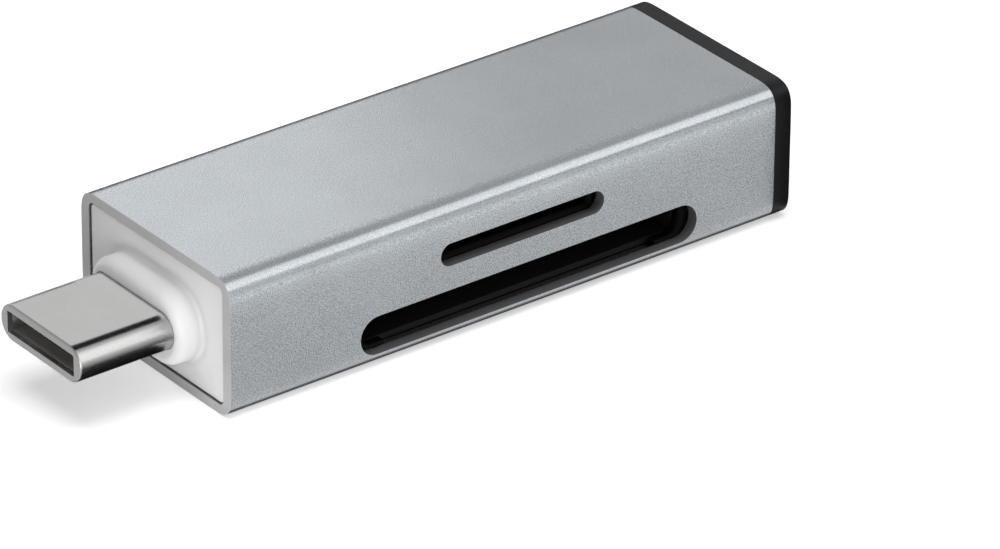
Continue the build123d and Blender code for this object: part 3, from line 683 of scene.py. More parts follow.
def slotted_tube_tree():
    """Solid bar bored to a tube, with two round-ended slots through its near wall"""
    tree, graph, given = new_tree("Slotted tube", {
        "Bar": "Geometry", "Length": "Float", "Bore Width": "Float", "Bore Height": "Float",
        "Bore Radius": "Float", "Start": "Vector",
        "Lower Slot Length": "Float", "Lower Slot Height": "Float", "Lower Slot Place": "Vector",
        "Upper Slot Length": "Float", "Upper Slot Height": "Float", "Upper Slot Place": "Vector",
        "Slot Depth": "Float", "Material": "Material",
    })
    prism = prism_tree()
    along = (math.pi / 2, 0.0, math.pi / 2)
    across = (math.pi / 2, 0.0, 0.0)

    def drawn(width, height, radius, reach, turned, place):
        inputs = {
            "Width": width, "Height": height, "Radius": radius,
            "Length": reach, "Turn": turned, "Place": place,
        }
        node = graph.add("GeometryNodeGroup", {}, node_tree=prism)
        for label, value in inputs.items():
            graph.feed(node.inputs[label], value)
        return node.outputs[0]

    def slot(label):
        height = given[label + " Slot Height"]
        return drawn(given[label + " Slot Length"], height, graph.math("DIVIDE", height, 2.0),
                     given["Slot Depth"], across, given[label + " Slot Place"])

    bore_length = graph.math("ADD", given["Length"], 2 * CUT_OVERLAP)
    places = {0: given["Start"], 1: (CUT_OVERLAP, 0.0, 0.0)}
    bore_start = graph.add("ShaderNodeVectorMath", places, operation="SUBTRACT").outputs[0]
    bore = drawn(given["Bore Width"], given["Bore Height"], given["Bore Radius"],
                 bore_length, along, bore_start)
    cut = graph.add("GeometryNodeMeshBoolean", {"Mesh 1": given["Bar"]},
                    operation="DIFFERENCE", solver="EXACT")
    for volume in (bore, slot("Lower"), slot("Upper")):
        graph.feed(cut.inputs["Mesh 2"], volume)
    end_tree(graph, cut.outputs[0], given["Material"])
    return tree


def strip_row_tree():
    """Bent strip along a path, repeated in a row, and the row repeated around a centre"""
    tree, graph, given = new_tree("Row of bent strips", {
        "Path": "Geometry", "Strip Width": "Float", "Strip Thickness": "Float", "Bend Radius": "Float",
        "Count": "Int", "First": "Vector", "Step": "Vector", "Sides": "Int", "Centre": "Vector",
        "Material": "Material",
    })
    path = graph.add("GeometryNodeMeshToCurve", {"Mesh": given["Path"]})
    bent = filleted(graph, path, given["Bend Radius"], BEND_STEPS)
    section = rectangle(graph, given["Strip Width"], given["Strip Thickness"])
    strip = drawn_along(graph, bent, section)
    places = {"Count": given["Count"], "Start Location": given["First"], "Offset": given["Step"]}
    row = graph.add("GeometryNodeMeshLine", places)
    copies = {"Points": row.outputs[0], "Instance": strip.outputs[0]}
    strips = graph.add("GeometryNodeInstanceOnPoints", copies)
    centres = graph.add("GeometryNodePoints", {"Count": given["Sides"], "Position": given["Centre"]})
    share_of_turn = graph.math("DIVIDE", graph.add("GeometryNodeInputIndex", {}).outputs[0], given["Sides"])
    angle = graph.math("MULTIPLY", share_of_turn, 2 * math.pi)
    euler = graph.add("ShaderNodeCombineXYZ", {"Z": angle}).outputs[0]
    turned = graph.add("FunctionNodeEulerToRotation", {"Euler": euler}).outputs[0]
    around = {"Points": centres.outputs[0], "Instance": strips.outputs[0], "Rotation": turned}
    sides = graph.add("GeometryNodeInstanceOnPoints", around)
    end_tree(graph, sides.outputs[0], given["Material"])
    return tree


def shifted_path(points, distance):
    """Path of flat points moved to the left of its direction, with square corners kept"""
    moved = []
    for i, point in enumerate(points):
        before = (point - points[i - 1]).normalized() if i else (points[1] - point).normalized()
        after = (points[i + 1] - point).normalized() if i + 1 < len(points) else before
        left_before = Vector((-before.y, before.x))
        left_after = Vector((-after.y, after.x))
        middle = (left_before + left_after).normalized()
        moved.append(point + middle * distance / middle.dot(left_before))
    return moved


def strip_row(name, paths, material, width, thickness, bend, first, step, count, sides=1,
              centre=(0.0, 0.0, 0.0)):
    """Row of bent strips whose centre lines are the given paths"""
    mesh = bpy.data.meshes.new(name + " path")
    corners = [point for path in paths for point in path]
    edges = []
    start = 0
    for path in paths:
        edges += [(i, i + 1) for i in range(start, start + len(path) - 1)]
        start += len(path)
    mesh.from_pydata(corners, edges, [])
    piece = add_object(name, mesh)
    tree = bpy.data.node_groups.get("Row of bent strips") or strip_row_tree()
    run_tree(piece, tree, {
        "Strip Width": width, "Strip Thickness": thickness, "Bend Radius": bend, "Count": count,
        "First": first, "Step": step, "Sides": sides, "Centre": centre, "Material": material,
    })
    piece.data.set_sharp_from_angle(angle=SMOOTH_ANGLE)
    return piece


# Operators, one for each piece or group of like pieces

class READER_OT_sleeve(bpy.types.Operator):
    """Builds the slotted aluminium sleeve"""
    bl_idname = "reader.sleeve"
    bl_label = "Aluminium Sleeve"

    def execute(self, context):
        sizes = context.scene.reader_sleeve
        finish = context.scene.reader_finish
        skin = anodised_aluminium(finish)
        slot_depth = sizes.side_wall + sizes.bore_radius + CUT_OVERLAP
        inset = Vector((0.0, sizes.side_wall + sizes.bore_radius, 0.0))
        maker = bmesh.new()
        ends = [
            rounded_ring(x, sleeve_size.y, sleeve_size.z, sizes.corner_radius, sleeve_mid_z,
                         sizes.corner_reach)
            for x in (sleeve_low.x, sleeve_high.x)
        ]
        add_loft(maker, ends, looped=False)
        piece = add_object("aluminium_sleeve", mesh_from(maker, "aluminium_sleeve"))
        run_tree(piece, slotted_tube_tree(), {
            "Length": sleeve_size.x, "Bore Width": sleeve_size.y - 2 * sizes.side_wall,
            "Bore Height": sleeve_size.z - 2 * sizes.flat_wall, "Bore Radius": sizes.bore_radius,
            "Start": (sleeve_low.x, 0.0, sleeve_mid_z),
            "Lower Slot Length": sizes.sd_slot_length, "Lower Slot Height": sizes.sd_slot_height,
            "Lower Slot Place": slot_places["sd_slot"] + inset,
            "Upper Slot Length": sizes.micro_slot_length, "Upper Slot Height": sizes.micro_slot_height,
            "Upper Slot Place": slot_places["microsd_slot"] + inset,
            "Slot Depth": slot_depth, "Material": skin,
        })
        ease_edges(piece, sizes.edge_break, segments=3)
        wall_place = len(piece.data.materials)
        rim_place = wall_place + 1
        piece.data.materials.append(slot_wall_painted_dark(finish))
        piece.data.materials.append(cut_rim(finish))
        for polygon in piece.data.polygons:
            from_end = min(polygon.center.x - sleeve_low.x, sleeve_high.x - polygon.center.x)
            from_bore = sleeve_low.y + sizes.side_wall - polygon.center.y
            if self.depth_under_skin(polygon.center, sizes.corner_radius) < 3 * sizes.edge_break:
                continue
            if from_end < sizes.edge_break / 2:
                polygon.material_index = rim_place
            # Faces of the slot walls take the material painted dark as shade
            elif from_bore > sizes.edge_break:
                polygon.material_index = wall_place
        dress(piece, skin, "anodised_aluminium", "housing_sleeve")
        return {"FINISHED"}

    @staticmethod
    def depth_under_skin(point, radius):
        """How far a point lies inside the sleeve's outer outline"""
        over_y = abs(point.y) - (sleeve_size.y / 2 - radius)
        over_z = abs(point.z - sleeve_mid_z) - (sleeve_size.z / 2 - radius)
        outside = math.hypot(max(over_y, 0.0), max(over_z, 0.0))
        return radius - outside - min(max(over_y, over_z), 0.0)


class READER_OT_bezel(bpy.types.Operator):
    """Builds the white bezel with the soft boss around the plug"""
    bl_idname = "reader.bezel"
    bl_label = "White Bezel"

    def execute(self, context):
        sizes = context.scene.reader_mouldings
        width = bezel_high.y - bezel_low.y
        height = bezel_high.z - bezel_low.z
        face_x = sleeve_low.x + sizes.bezel_recess
        tip_x = bezel_low.x
        boss_z = plug_z - sizes.boss_drop
        rings = [rounded_ring(bezel_high.x, width, height, sizes.bezel_radius, sleeve_mid_z)]
        for run, rise in quarter(sizes.bezel_edge):
            inset = 2 * (sizes.bezel_edge - run)
            rings.append(rounded_ring(face_x + sizes.bezel_edge - rise, width - inset, height - inset,
                                      sizes.bezel_radius - inset / 2, sleeve_mid_z))
        for run, rise in quarter(sizes.boss_root):
            grow = 2 * (sizes.boss_root - rise)
            rings.append(slot_ring(face_x - sizes.boss_root + run, sizes.boss_width + grow,
                                   sizes.boss_height + grow, boss_z))
        for run, rise in quarter(sizes.boss_edge):
            inset = 2 * (sizes.boss_edge - run)
            rings.append(slot_ring(tip_x + sizes.boss_edge - rise, sizes.boss_width - inset,
                                   sizes.boss_height - inset, boss_z))
        maker = bmesh.new()
        add_loft(maker, rings, looped=False)
        piece = add_object("white_bezel", mesh_from(maker, "white_bezel"))
        hole_width = plug_width + 2 * sizes.plug_fit
        hole_height = plug_height + 2 * sizes.plug_fit
        maker = bmesh.new()
        add_loft(maker, [slot_ring(x, hole_width, hole_height, plug_z)
                         for x in (tip_x - CUT_OVERLAP, bezel_high.x + CUT_OVERLAP)], looped=False)
        cut_away(piece, add_object("plug_hole", mesh_from(maker, "plug_hole")))
        piece.data.set_sharp_from_angle(angle=SMOOTH_ANGLE)
        ease_edges(piece, 0.0)
        dress(piece, white_plastic(context.scene.reader_finish), "white_plastic", "front_bezel")
        return {"FINISHED"}


class READER_OT_rear_cap(bpy.types.Operator):
    """Builds the black rear cap with its hollow spigot"""
    bl_idname = "reader.rear_cap"
    bl_label = "Rear Cap"

    def execute(self, context):
        sizes = context.scene.reader_mouldings
        finish = context.scene.reader_finish
        radius = context.scene.reader_sleeve.corner_radius
        reach = context.scene.reader_sleeve.corner_reach
        width = cap_high.y - cap_low.y
        height = cap_high.z - cap_low.z
        joint_x = sleeve_high.x
        spigot_width = width - 2 * (context.scene.reader_sleeve.side_wall + sizes.cap_joint)
        spigot_height = height - 2 * (context.scene.reader_sleeve.flat_wall + sizes.cap_joint)

        def outline(x, inset):
            return rounded_ring(x, width - 2 * inset, height - 2 * inset, radius - inset, sleeve_mid_z,
                                reach - inset)

        rings = []
        for run, rise in quarter(sizes.cap_edge, 90.0, 0.0):
            rings.append(outline(cap_high.x - sizes.cap_edge + rise, sizes.cap_edge - run))
        for run, rise in quarter(sizes.cap_joint):
            rings.append(outline(joint_x + sizes.cap_joint - rise, sizes.cap_joint - run))
        for x in (joint_x, cap_low.x):
            rings.append(rounded_ring(x, spigot_width, spigot_height, sizes.cap_spigot_radius, sleeve_mid_z))
        for x in (cap_low.x, joint_x):
            rings.append(rounded_ring(x, spigot_width - 2 * sizes.cap_spigot_wall,
                                      spigot_height - 2 * sizes.cap_spigot_wall,
                                      sizes.cap_joint, sleeve_mid_z))
        maker = bmesh.new()
        add_loft(maker, rings, looped=False)
        piece = add_object("black_rear_cap", mesh_from(maker, "black_rear_cap"))
        piece.data.set_sharp_from_angle(angle=SMOOTH_ANGLE)
        ease_edges(piece, 0.0)
        plastic = moulded_plastic("black plastic", finish.black_plastic, texture_size=0.1 * MM,
                                  texture_depth=0.003 * MM, roughness=0.42, gloss=0.18)
        dress(piece, plastic, "black_plastic", "rear_cap")
        return {"FINISHED"}


class READER_OT_plug(bpy.types.Operator):
    """Builds the plug's polished shell, its insulator, contacts and latch springs"""
    bl_idname = "reader.plug"
    bl_label = "USB-C Plug"

    def execute(self, context):
        sizes = context.scene.reader_plug
        finish = context.scene.reader_finish
        self.build_shell(sizes, finish)
        plastic = moulded_plastic("plug insulator plastic", finish.plug_plastic, texture_size=0.08 * MM,
                                  texture_depth=0.002 * MM, roughness=0.5, gloss=0.3)
        insulator = eased_copy("plug_insulator", "usb_c_insulator", 0.0)
        dress(insulator, plastic, "socket_plastic", "usb_c_insulator")
        gold = bright_metal("gold plate", finish.gold, roughness=0.2, streaks=(1.0, 6.0, 6.0))
        self.build_contacts(sizes, gold, "upper", 1)
        self.build_contacts(sizes, gold, "lower", -1)
        self.build_latches(sizes, finish)
        return {"FINISHED"}

    @staticmethod
    def build_shell(sizes, finish):
        """Drawn tube with a rounded front edge, an inturned lip and two tabs"""
        tip_x = shell_low.x
        rear_x = shell_high.x - sizes.tab_length
        wall = sizes.shell_wall
        inside = (plug_width - 2 * wall, plug_height - 2 * wall)
        rings = [slot_ring(rear_x, plug_width, plug_height, plug_z)]
        for run, rise in quarter(sizes.shell_edge):
            inset = 2 * (sizes.shell_edge - run)
            rings.append(slot_ring(tip_x + sizes.shell_edge - rise, plug_width - inset,
                                   plug_height - inset, plug_z))
        for run, rise in quarter(sizes.mouth_edge, 90.0, 0.0):
            grow = 2 * (sizes.mouth_edge - run)
            rings.append(rounded_ring(tip_x + sizes.mouth_edge - rise, sizes.mouth_width + grow,
                                      sizes.mouth_height + grow, sizes.mouth_radius + grow / 2, plug_z))
        lip_x = tip_x + sizes.shell_lip
        rings.append(rounded_ring(lip_x, sizes.mouth_width, sizes.mouth_height, sizes.mouth_radius, plug_z))
        rings.append(slot_ring(lip_x, *inside, plug_z))
        rings.append(slot_ring(rear_x, *inside, plug_z))
        maker = bmesh.new()
        add_loft(maker, rings, looped=True)
        for side in (1, -1):
            tab = [READER_OT_plug.tab_ring(sizes, x, side) for x in (rear_x, shell_high.x)]
            add_loft(maker, tab, looped=False)
        piece = add_object("plug_shell", mesh_from(maker, "plug_shell"))
        piece.data.set_sharp_from_angle(angle=SMOOTH_ANGLE)
        ease_edges(piece, 0.0)
        steel = bright_metal("plated steel", finish.plated_steel, roughness=0.27, streaks=(1.0, 10.0, 10.0))
        # Darker copy of the plated steel for the front edge: painted shade
        front_edge_shade = bright_metal("cut steel", finish.front_edge_shade_steel, roughness=0.35, streaks=(1.0, 4.0, 1.0))
        piece.data.materials.append(steel)
        piece.data.materials.append(front_edge_shade)
        for polygon in piece.data.polygons:
            if polygon.normal.x < FRONT_FACING and polygon.center.x < tip_x + sizes.shell_edge:
                polygon.material_index = 1
        dress(piece, steel, "plated_steel", "usb_c_shell")

    @staticmethod
    def tab_ring(sizes, x, side):
        """Section of one tab, cut from the shell's round side"""
        points = []
        centre_y = plug_width / 2 - plug_height / 2
        for radius, order in ((plug_height / 2, 1), (plug_height / 2 - sizes.shell_wall, -1)):
            half_angle = math.asin(sizes.tab_height / 2 / radius)
            for step in range(FILLET_STEPS + 1):
                angle = order * half_angle * (2 * step / FILLET_STEPS - 1)
                y = side * (centre_y + radius * math.cos(angle))
                points.append(Vector((x, y, plug_z + radius * math.sin(angle))))
        return points

    @staticmethod
    def build_contacts(sizes, gold, row, side):
        """One row of spring contacts, above the plug's middle or mirrored below it"""
        node = f"usb_c_{row}_contacts"
        low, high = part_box(node)
        board_z = board_top_z - plug_z
        run_z = max(high.z - plug_z, plug_z - low.z) - sizes.contact_thickness
        hump_z = min(abs(high.z - plug_z), abs(low.z - plug_z))
        heel_x = high.x - sizes.contact_foot
        hump_x = low.x + sizes.contact_hump
        flat = [Vector(point) for point in (
            (high.x, board_z), (heel_x, board_z), (heel_x - sizes.contact_foot / 2, run_z),
            (hump_x + sizes.contact_hump / 2, run_z), (hump_x, hump_z), (low.x, run_z),
        )]
        centre_line = shifted_path(flat, -sizes.contact_thickness / 2)
        path = [Vector((x, 0.0, plug_z + side * z)) for x, z in centre_line]
        first_y = low.y + sizes.contact_width / 2
        pitch = (high.y - low.y - sizes.contact_width) / (sizes.contact_count - 1)
        piece = strip_row(f"plug_contacts_{row}", [path], gold, sizes.contact_width, sizes.contact_thickness,
                          sizes.contact_bend, (0.0, first_y, 0.0), (0.0, pitch, 0.0), sizes.contact_count)
        dress(piece, gold, "gold_contact", node)

    @staticmethod
    def build_latches(sizes, finish):
        """Hooked strip in each side of the mouth"""
        low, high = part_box("usb_c_latch_springs")
        run_y = high.y - sizes.latch_thickness
        hook_x = low.x + sizes.latch_hook
        hook_y = sizes.mouth_width / 2 - sizes.latch_reach
        flat = [Vector(point) for point in (
            (high.x, run_y), (hook_x + sizes.latch_hook, run_y), (hook_x, hook_y), (low.x, run_y),
        )]
        centre_line = shifted_path(flat, -sizes.latch_thickness / 2)
        paths = [[Vector((x, side * y, plug_z)) for x, y in centre_line] for side in (1, -1)]
        steel = bright_metal("spring steel", finish.spring_steel, roughness=0.25, streaks=(1.0, 8.0, 8.0))
        piece = strip_row("plug_latches", paths, steel, sizes.latch_thickness, high.z - low.z,
                          sizes.contact_bend, (0.0, 0.0, 0.0), (0.0, 0.0, 0.0), 1)
        dress(piece, steel, "spring_steel", "usb_c_latch_springs")


class READER_OT_card_sockets(bpy.types.Operator):
    """Builds the card guide, both card sockets and their contacts"""
    bl_idname = "reader.card_sockets"
    bl_label = "Card Sockets"

    def execute(self, context):
        sizes = context.scene.reader_sockets
        finish = context.scene.reader_finish
        # The guide's large edge factor paints bright highlight lines along its edges
        guide = moulded_plastic("guide plastic", finish.frame_plastic, texture_size=0.09 * MM,
                                texture_depth=0.002 * MM, roughness=0.5, gloss=0.06, edge_wear_and_glint=60.0)
        black = moulded_plastic("socket plastic", finish.socket_plastic, texture_size=0.07 * MM,
                                texture_depth=0.002 * MM, roughness=0.5, gloss=0.25)
        steel = bright_metal("cover steel", finish.spring_steel, roughness=0.3, streaks=(1.0, 12.0, 1.0))
        for name, node, material, slot in (
            ("card_guide", "inner_frame", guide, "frame_plastic"),
            ("sd_base", "sd_socket_base", black, "socket_plastic"),
            ("sd_cover", "sd_socket_cover", steel, "spring_steel"),
            ("microsd_base", "microsd_socket_base", black, "socket_plastic"),
            ("microsd_cover", "microsd_socket_cover", steel, "spring_steel"),
        ):
            dress(eased_copy(name, node, sizes.edge_break), material, slot, node)
        gold = bright_metal("card contact gold", finish.gold, roughness=0.22, streaks=(6.0, 1.0, 6.0))
        thickness = context.scene.reader_plug.contact_thickness
        bend = context.scene.reader_plug.contact_bend
        for name, node, width, count, side in (
            ("sd_spring_contacts", "sd_contacts", sizes.sd_contact_width, sizes.sd_contact_count, 1),
            ("microsd_spring_contacts", "microsd_contacts", sizes.micro_contact_width,
             sizes.micro_contact_count, -1),
        ):
            low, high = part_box(node)
            foot_side_z = high.z if side > 0 else low.z
            run_z = low.z + thickness if side > 0 else high.z - thickness
            hump_z = self.hump_height(node)
            tail_y = high.y - sizes.contact_tail
            hump_y = low.y + sizes.contact_hump
            flat = [Vector(point) for point in (
                (high.y, foot_side_z), (tail_y, foot_side_z), (tail_y, run_z),
                (hump_y + sizes.contact_hump, run_z), (hump_y, hump_z), (low.y, run_z),
            )]
            centre_line = shifted_path(flat, side * thickness / 2)
            path = [Vector((0.0, y, z)) for y, z in centre_line]
            first_x = low.x + width / 2
            pitch = (high.x - low.x - width) / (count - 1)
            piece = strip_row(name, [path], gold, width, thickness, bend, (first_x, 0.0, 0.0),
                              (pitch, 0.0, 0.0), count)
            dress(piece, gold, "gold_contact", node)
        return {"FINISHED"}

    @staticmethod
    def hump_height(node):
        """Height of the contacts' humps, which are their points nearest to the card's middle"""
        slot = slot_places["sd_slot"] if node == "sd_contacts" else slot_places["microsd_slot"]
        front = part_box(node)[0].y + HUMP_SEARCH
        near = [vertex.co.z for vertex in frame["nodes"][node].data.vertices if vertex.co.y < front]
        return min(near, key=lambda z: abs(z - slot.z))


class READER_OT_board(bpy.types.Operator):
    """Builds the circuit board with its chip, leads and small parts"""
    bl_idname = "reader.board"
    bl_label = "Circuit Board"

    def execute(self, context):
        sizes = context.scene.reader_sockets
        finish = context.scene.reader_finish
        chip_black = moulded_plastic("chip plastic", finish.socket_plastic, texture_size=0.05 * MM,
                                     texture_depth=0.002 * MM, roughness=0.55, gloss=0.4)
        can = bright_metal("crystal can", finish.spring_steel, roughness=0.22, streaks=(1.0, 6.0, 1.0))

        def ended(name, node, tone, body_share):
            low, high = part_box(node)
            middle = (low.x + high.x) / 2
            return tinned_body(name, tone, finish.tin, middle, (high.x - low.x) / 2 * body_share)

        ceramic = ended("capacitor ceramic", "chip_capacitors", finish.ceramic, 0.55)
        resistor = ended("resistor body", "chip_resistors", finish.socket_plastic, 0.6)
        for name, node, material, slot in (
            ("green_board", "circuit_board", board_laminate(finish), "board_laminate"),
            ("controller_chip", "reader_chip", chip_black, "chip_plastic"),
            ("crystal_can", "crystal", can, "spring_steel"),
            ("regulator", "voltage_regulator", chip_black, "chip_plastic"),
            ("capacitors", "chip_capacitors", ceramic, "capacitor_ceramic"),
            ("resistors", "chip_resistors", resistor, "chip_plastic"),
        ):
            dress(eased_copy(name, node, sizes.edge_break), material, slot, node)
        self.build_leads(sizes, can)
        return {"FINISHED"}

    @staticmethod
    def build_leads(sizes, tin):
        """Gull-wing leads along all four sides of the chip"""
        low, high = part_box("reader_chip_leads")
        chip_low, chip_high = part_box("reader_chip")
        centre = (chip_low + chip_high) / 2
        root_x = (chip_high.x - chip_low.x) / 2
        bend_x = root_x + sizes.lead_shoulder
        root_z = high.z - sizes.lead_thickness
        flat = [Vector(point) for point in (
            (root_x, root_z), (bend_x, root_z),
            (bend_x + sizes.lead_slope, low.z), (high.x - centre.x, low.z),
        )]
        path = [Vector((x, 0.0, z)) for x, z in shifted_path(flat, sizes.lead_thickness / 2)]
        reach = chip_high.y - chip_low.y - 2 * sizes.lead_edge
        piece = strip_row("controller_leads", [path], tin, sizes.lead_width, sizes.lead_thickness,
                          sizes.lead_thickness, (0.0, -reach / 2, 0.0),
                          (0.0, reach / (sizes.lead_count - 1), 0.0), sizes.lead_count, 4,
                          (centre.x, centre.y, 0.0))
        dress(piece, tin, "spring_steel", "reader_chip_leads")


class READER_OT_stage(bpy.types.Operator):
    """Sets the floor, the white surroundings, the lamps and the camera"""
    bl_idname = "reader.stage"
    bl_label = "White Studio"

    floor_radius = 1.5
    floor_drop = 0.02 * MM

    def execute(self, context):
        studio = context.scene.reader_studio
        context.scene.view_settings.view_transform = "Standard"
        self.build_floor(studio)
        self.build_cards()
        self.build_surroundings(context.scene, studio)
        middle = Vector((0.0, 0.0, sleeve_mid_z))
        boss = Vector((bezel_low.x, 0.0, plug_z))
        top = self.add_lamp("top lamp", studio.top_power, size=(0.4, 0.4),
                            place=(-0.05, -0.05, 0.55), target=middle)
        key = self.add_lamp("key lamp", studio.key_power, size=(0.68, 0.56),
                            place=(0.322, -0.289, 0.416), target=middle)
        fill = self.add_lamp("fill lamp", studio.fill_power, size=(0.016, 0.016),
                             place=(-0.033, -0.022, 0.004), target=boss)
        back = self.add_lamp("back lamp", studio.back_power, size=(0.05, 0.05),
                             place=(0.02, 0.062, 0.052), target=middle)
        plug = self.add_lamp("plug lamp", studio.plug_power, size=(0.25, 0.26),
                             place=(0.14, -0.19, 0.17), target=boss)
        top.visible_glossy = False
        self.light_only(back, "aluminium_sleeve", "INCLUDE")
        self.light_only(plug, "plug_shell", "INCLUDE")
        self.light_only(key, "plug_shell", "EXCLUDE")
        self.light_only(fill, "plug_insulator", "EXCLUDE")
        self.place_camera(context.scene, studio)
        return {"FINISHED"}

    def build_floor(self, studio):
        """White floor that keeps the reader's shadow"""
        maker = bmesh.new()
        bmesh.ops.create_circle(maker, cap_ends=True, segments=96, radius=self.floor_radius)
        bmesh.ops.translate(maker, vec=(0.0, 0.0, -self.floor_drop), verts=maker.verts)
        mesh = bpy.data.meshes.new("floor")
        maker.to_mesh(mesh)
        maker.free()
        material, graph, shader, place = new_material("white floor", (studio.floor_white,) * 3)
        grain = graph.noise(place, 2.0 * MM)
        paper = graph.mix(grain, opaque([studio.floor_white * 0.995] * 3), opaque([studio.floor_white] * 3))
        rays = graph.add("ShaderNodeLightPath", {}).outputs
        seen = graph.math("MAXIMUM", rays["Is Camera Ray"], rays["Is Glossy Ray"])
        seen = graph.math("MAXIMUM", seen, rays["Is Transmission Ray"])
        set_shader(graph, shader, Base_Color=paper, Roughness=1.0, Specular_IOR_Level=0.0,
                   Emission_Color=WHITE,
                   Emission_Strength=graph.math("MULTIPLY", seen, studio.floor_lift))
        mesh.materials.append(material)
        add_object("floor", mesh)

    def build_cards(self):
        """Cards that only mirrored rays meet, around the plug, by the sleeve and by the cap: the dark ones
        paint shade into the metal's reflections and the glowing ones paint light
        """
        front = sleeve_low.x / MM
        rear = cap_high.x / MM
        near = sleeve_low.y / MM
        tip = shell_low.x / MM
        boss = bezel_low.x / MM
        beside = near + 1.3
        under = shell_low.z / MM - 0.35
        over = shell_high.z / MM + 0.4
        foot = self.floor_drop / MM
        # Each card has a name, a lightness, a glow and two opposite corners in millimetres
        cards = [("card under the plug", 0.002, 0.0, (tip, beside, under), (boss, 3.5, under))]
        # The strips beside the plug stand on each other, and each has a height of its own
        edge = under
        for name, tone, glow, height in (
            ("card beside the plug", 0.002, 0.0, 0.7),
            ("card above it", 0.01, 0.28, 0.55),
            ("card over that", 0.01, 0.5, 0.55),
            ("card above all", 0.01, 0.7, 0.55),
        ):
            cards.append((name, tone, glow, (tip, beside, edge), (boss + 1.5, beside, edge + height)))
            edge += height
        cards += [
            ("card over the plug", 0.002, 0.0, (tip, near + 4.1, over), (boss + 0.5, near + 4.85, over)),
            ("card before the boss", 0.01, 0.95, (boss - 0.05, -3.5, 5.95), (boss - 0.05, 6.5, 8.1)),
            ("card along the foot", 0.3, 0.0, (front, near + 0.1, foot), (rear, 0.0, foot)),
            ("card along the sleeve", 0.01, 1.05, (front, near + 0.1, foot),
             (rear + 12.0, near - 11.0, foot)),
            ("card beyond it", 0.01, 1.5, (front + 9.0, near - 12.0, foot), (rear + 90.0, near - 75.0, foot)),
            ("card on the near side", 0.02, 0.0, (87.0, -150.0, 69.0), (320.0, -150.0, 98.0)),
            ("card beside the cap", 0.45, 0.0, (rear + 0.2, near + 0.1, 0.0), (rear + 0.2, near - 1.7, 9.0)),
            ("card behind", 0.01, 0.0, (0.0, 50.0, 0.0), (70.0, 50.0, 20.0)),
        ]
        for card in cards:
            self.add_card(*card)

    @staticmethod
    def add_card(name, tone, glow, first, last):
        """Flat card along the axes, between two opposite corners in millimetres, which paints a dark or
        glowing patch into reflections alone
        """
        grey = (tone,) * 3
        material, graph, shader, place = new_material(name, grey)
        fibre = graph.noise(place, 1.0 * MM)
        paper = graph.mix(fibre, tinted(grey, 0.9), tinted(grey, 1.1))
        set_shader(graph, shader, Base_Color=paper, Roughness=1.0, Specular_IOR_Level=0.0,
                   Emission_Color=WHITE, Emission_Strength=glow)
        across = next(axis for axis in range(3) if first[axis] != last[axis])
        second = list(first)
        second[across] = last[across]
        fourth = list(last)
        fourth[across] = first[across]
        corners = [Vector(corner) * MM for corner in (first, second, last, fourth)]
        mesh = bpy.data.meshes.new(name)
        mesh.from_pydata(corners, [], [(0, 1, 2, 3)])
        mesh.materials.append(material)
        card = add_object(name, mesh)
        card.visible_camera = False
        card.visible_diffuse = False
        card.visible_shadow = False
        card.visible_transmission = False

    @staticmethod
    def build_surroundings(scene, studio):
        """White all around the horizon, dimmer overhead"""
        world = bpy.data.worlds.new("white studio")
        world.use_nodes = True
        scene.world = world
        graph = Graph(world.node_tree)
        direction = graph.add("ShaderNodeTexCoord", {}).outputs["Generated"]
        height = graph.add("ShaderNodeSeparateXYZ", {"Vector": direction}).outputs["Z"]
        dome = graph.span(height, 1.0, studio.zenith, 0.55, 0.85)
        rays = graph.add("ShaderNodeLightPath", {}).outputs
        mirrored = graph.math("MAXIMUM", rays["Is Glossy Ray"], rays["Is Transmission Ray"])
        dull = graph.span(mirrored, studio.ambient, 0.0)
        strength = graph.math("ADD", graph.math("MULTIPLY", dome, mirrored), dull)
        strength = graph.math("MAXIMUM", strength, rays["Is Camera Ray"])
        background = world.node_tree.nodes["Background"]
        graph.feed(background.inputs["Color"], WHITE)
        graph.feed(background.inputs["Strength"], strength)

    @staticmethod
    def add_lamp(name, watts, size, place, target):
        """Soft rectangular lamp aimed at a point, with its length along the reader"""
        lamp = bpy.data.lights.new(name, "AREA")
        lamp.shape = "RECTANGLE"
        lamp.size, lamp.size_y = size
        lamp.energy = watts
        holder = add_object(name, lamp)
        away = (Vector(place) - target).normalized()
        across = away.cross(Vector((1.0, 0.0, 0.0))).normalized()
        along = across.cross(away)
        holder.matrix_world = Matrix.Translation(place) @ Matrix((along, across, away)).transposed().to_4x4()
        holder.visible_camera = False
        return holder

    @staticmethod
    def light_only(lamp, piece, state):
        """Lets a lamp light one piece alone, or all but that piece"""
        receivers = bpy.data.collections.new(lamp.name + " receivers")
        receivers.objects.link(bpy.data.objects[piece])
        receivers.collection_objects[0].light_linking.link_state = state
        lamp.light_linking.receiver_collection = receivers

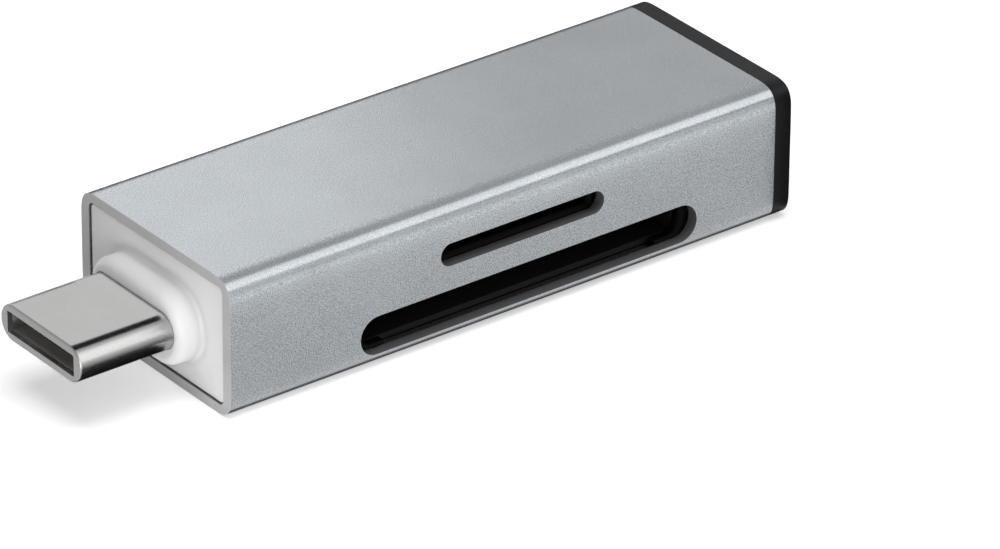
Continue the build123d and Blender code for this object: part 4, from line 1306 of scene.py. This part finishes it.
    @staticmethod
    def place_camera(scene, studio):
        """Camera at the photograph's angle"""
        turned, tilt, roll = studio.camera_turn, studio.camera_tilt, studio.camera_roll
        level = Vector((math.cos(turned), -math.sin(turned), 0.0))
        ahead = Vector((math.sin(turned) * math.cos(tilt), math.cos(turned) * math.cos(tilt),
                        -math.sin(tilt)))
        upright = level.cross(ahead)
        right = math.cos(roll) * level + math.sin(roll) * upright
        up = math.cos(roll) * upright - math.sin(roll) * level
        place = Vector(studio.camera_aim) - ahead * studio.camera_distance
        lens = bpy.data.cameras.new("camera")
        lens.sensor_fit = "HORIZONTAL"
        lens.sensor_width = 36.0
        lens.lens = studio.lens
        lens.clip_start = 0.01
        camera = add_object("camera", lens)
        camera.matrix_world = Matrix.Translation(place) @ Matrix((right, up, -ahead)).transposed().to_4x4()
        scene.camera = camera


STEPS = (
    READER_OT_sleeve, READER_OT_bezel, READER_OT_rear_cap, READER_OT_plug, READER_OT_card_sockets,
    READER_OT_board, READER_OT_stage,
)


class READER_PT_sidebar(bpy.types.Panel):
    """Lists the reader's pieces and the stage"""
    bl_idname = "READER_PT_sidebar"
    bl_label = "Card Reader"
    bl_space_type = "VIEW_3D"
    bl_region_type = "UI"
    bl_category = "Card Reader"

    def draw(self, context):
        for step in STEPS:
            self.layout.operator(step.bl_idname)
        for name in SETTINGS:
            group = getattr(context.scene, name)
            box = self.layout.box()
            for prop in group.bl_rna.properties:
                if prop.identifier not in {"rna_type", "name"}:
                    box.prop(group, prop.identifier)


SETTINGS = {
    "reader_sleeve": SleeveSizes,
    "reader_mouldings": MouldingSizes,
    "reader_plug": PlugSizes,
    "reader_sockets": SocketSizes,
    "reader_finish": ReaderFinish,
    "reader_studio": StudioSettings,
}


def register():
    for name, group in SETTINGS.items():
        bpy.utils.register_class(group)
        setattr(bpy.types.Scene, name, PointerProperty(type=group))
    for kind in (*STEPS, READER_PT_sidebar):
        bpy.utils.register_class(kind)


def unregister():
    for kind in (READER_PT_sidebar, *reversed(STEPS)):
        bpy.utils.unregister_class(kind)
    for name, group in reversed(SETTINGS.items()):
        delattr(bpy.types.Scene, name)
        bpy.utils.unregister_class(group)


def main():
    """Builds every piece in order"""
    register()
    bpy.ops.reader.sleeve()
    bpy.ops.reader.bezel()
    bpy.ops.reader.rear_cap()
    bpy.ops.reader.plug()
    bpy.ops.reader.card_sockets()
    bpy.ops.reader.board()
    bpy.ops.reader.stage()


if __name__ == "__main__":
    main()
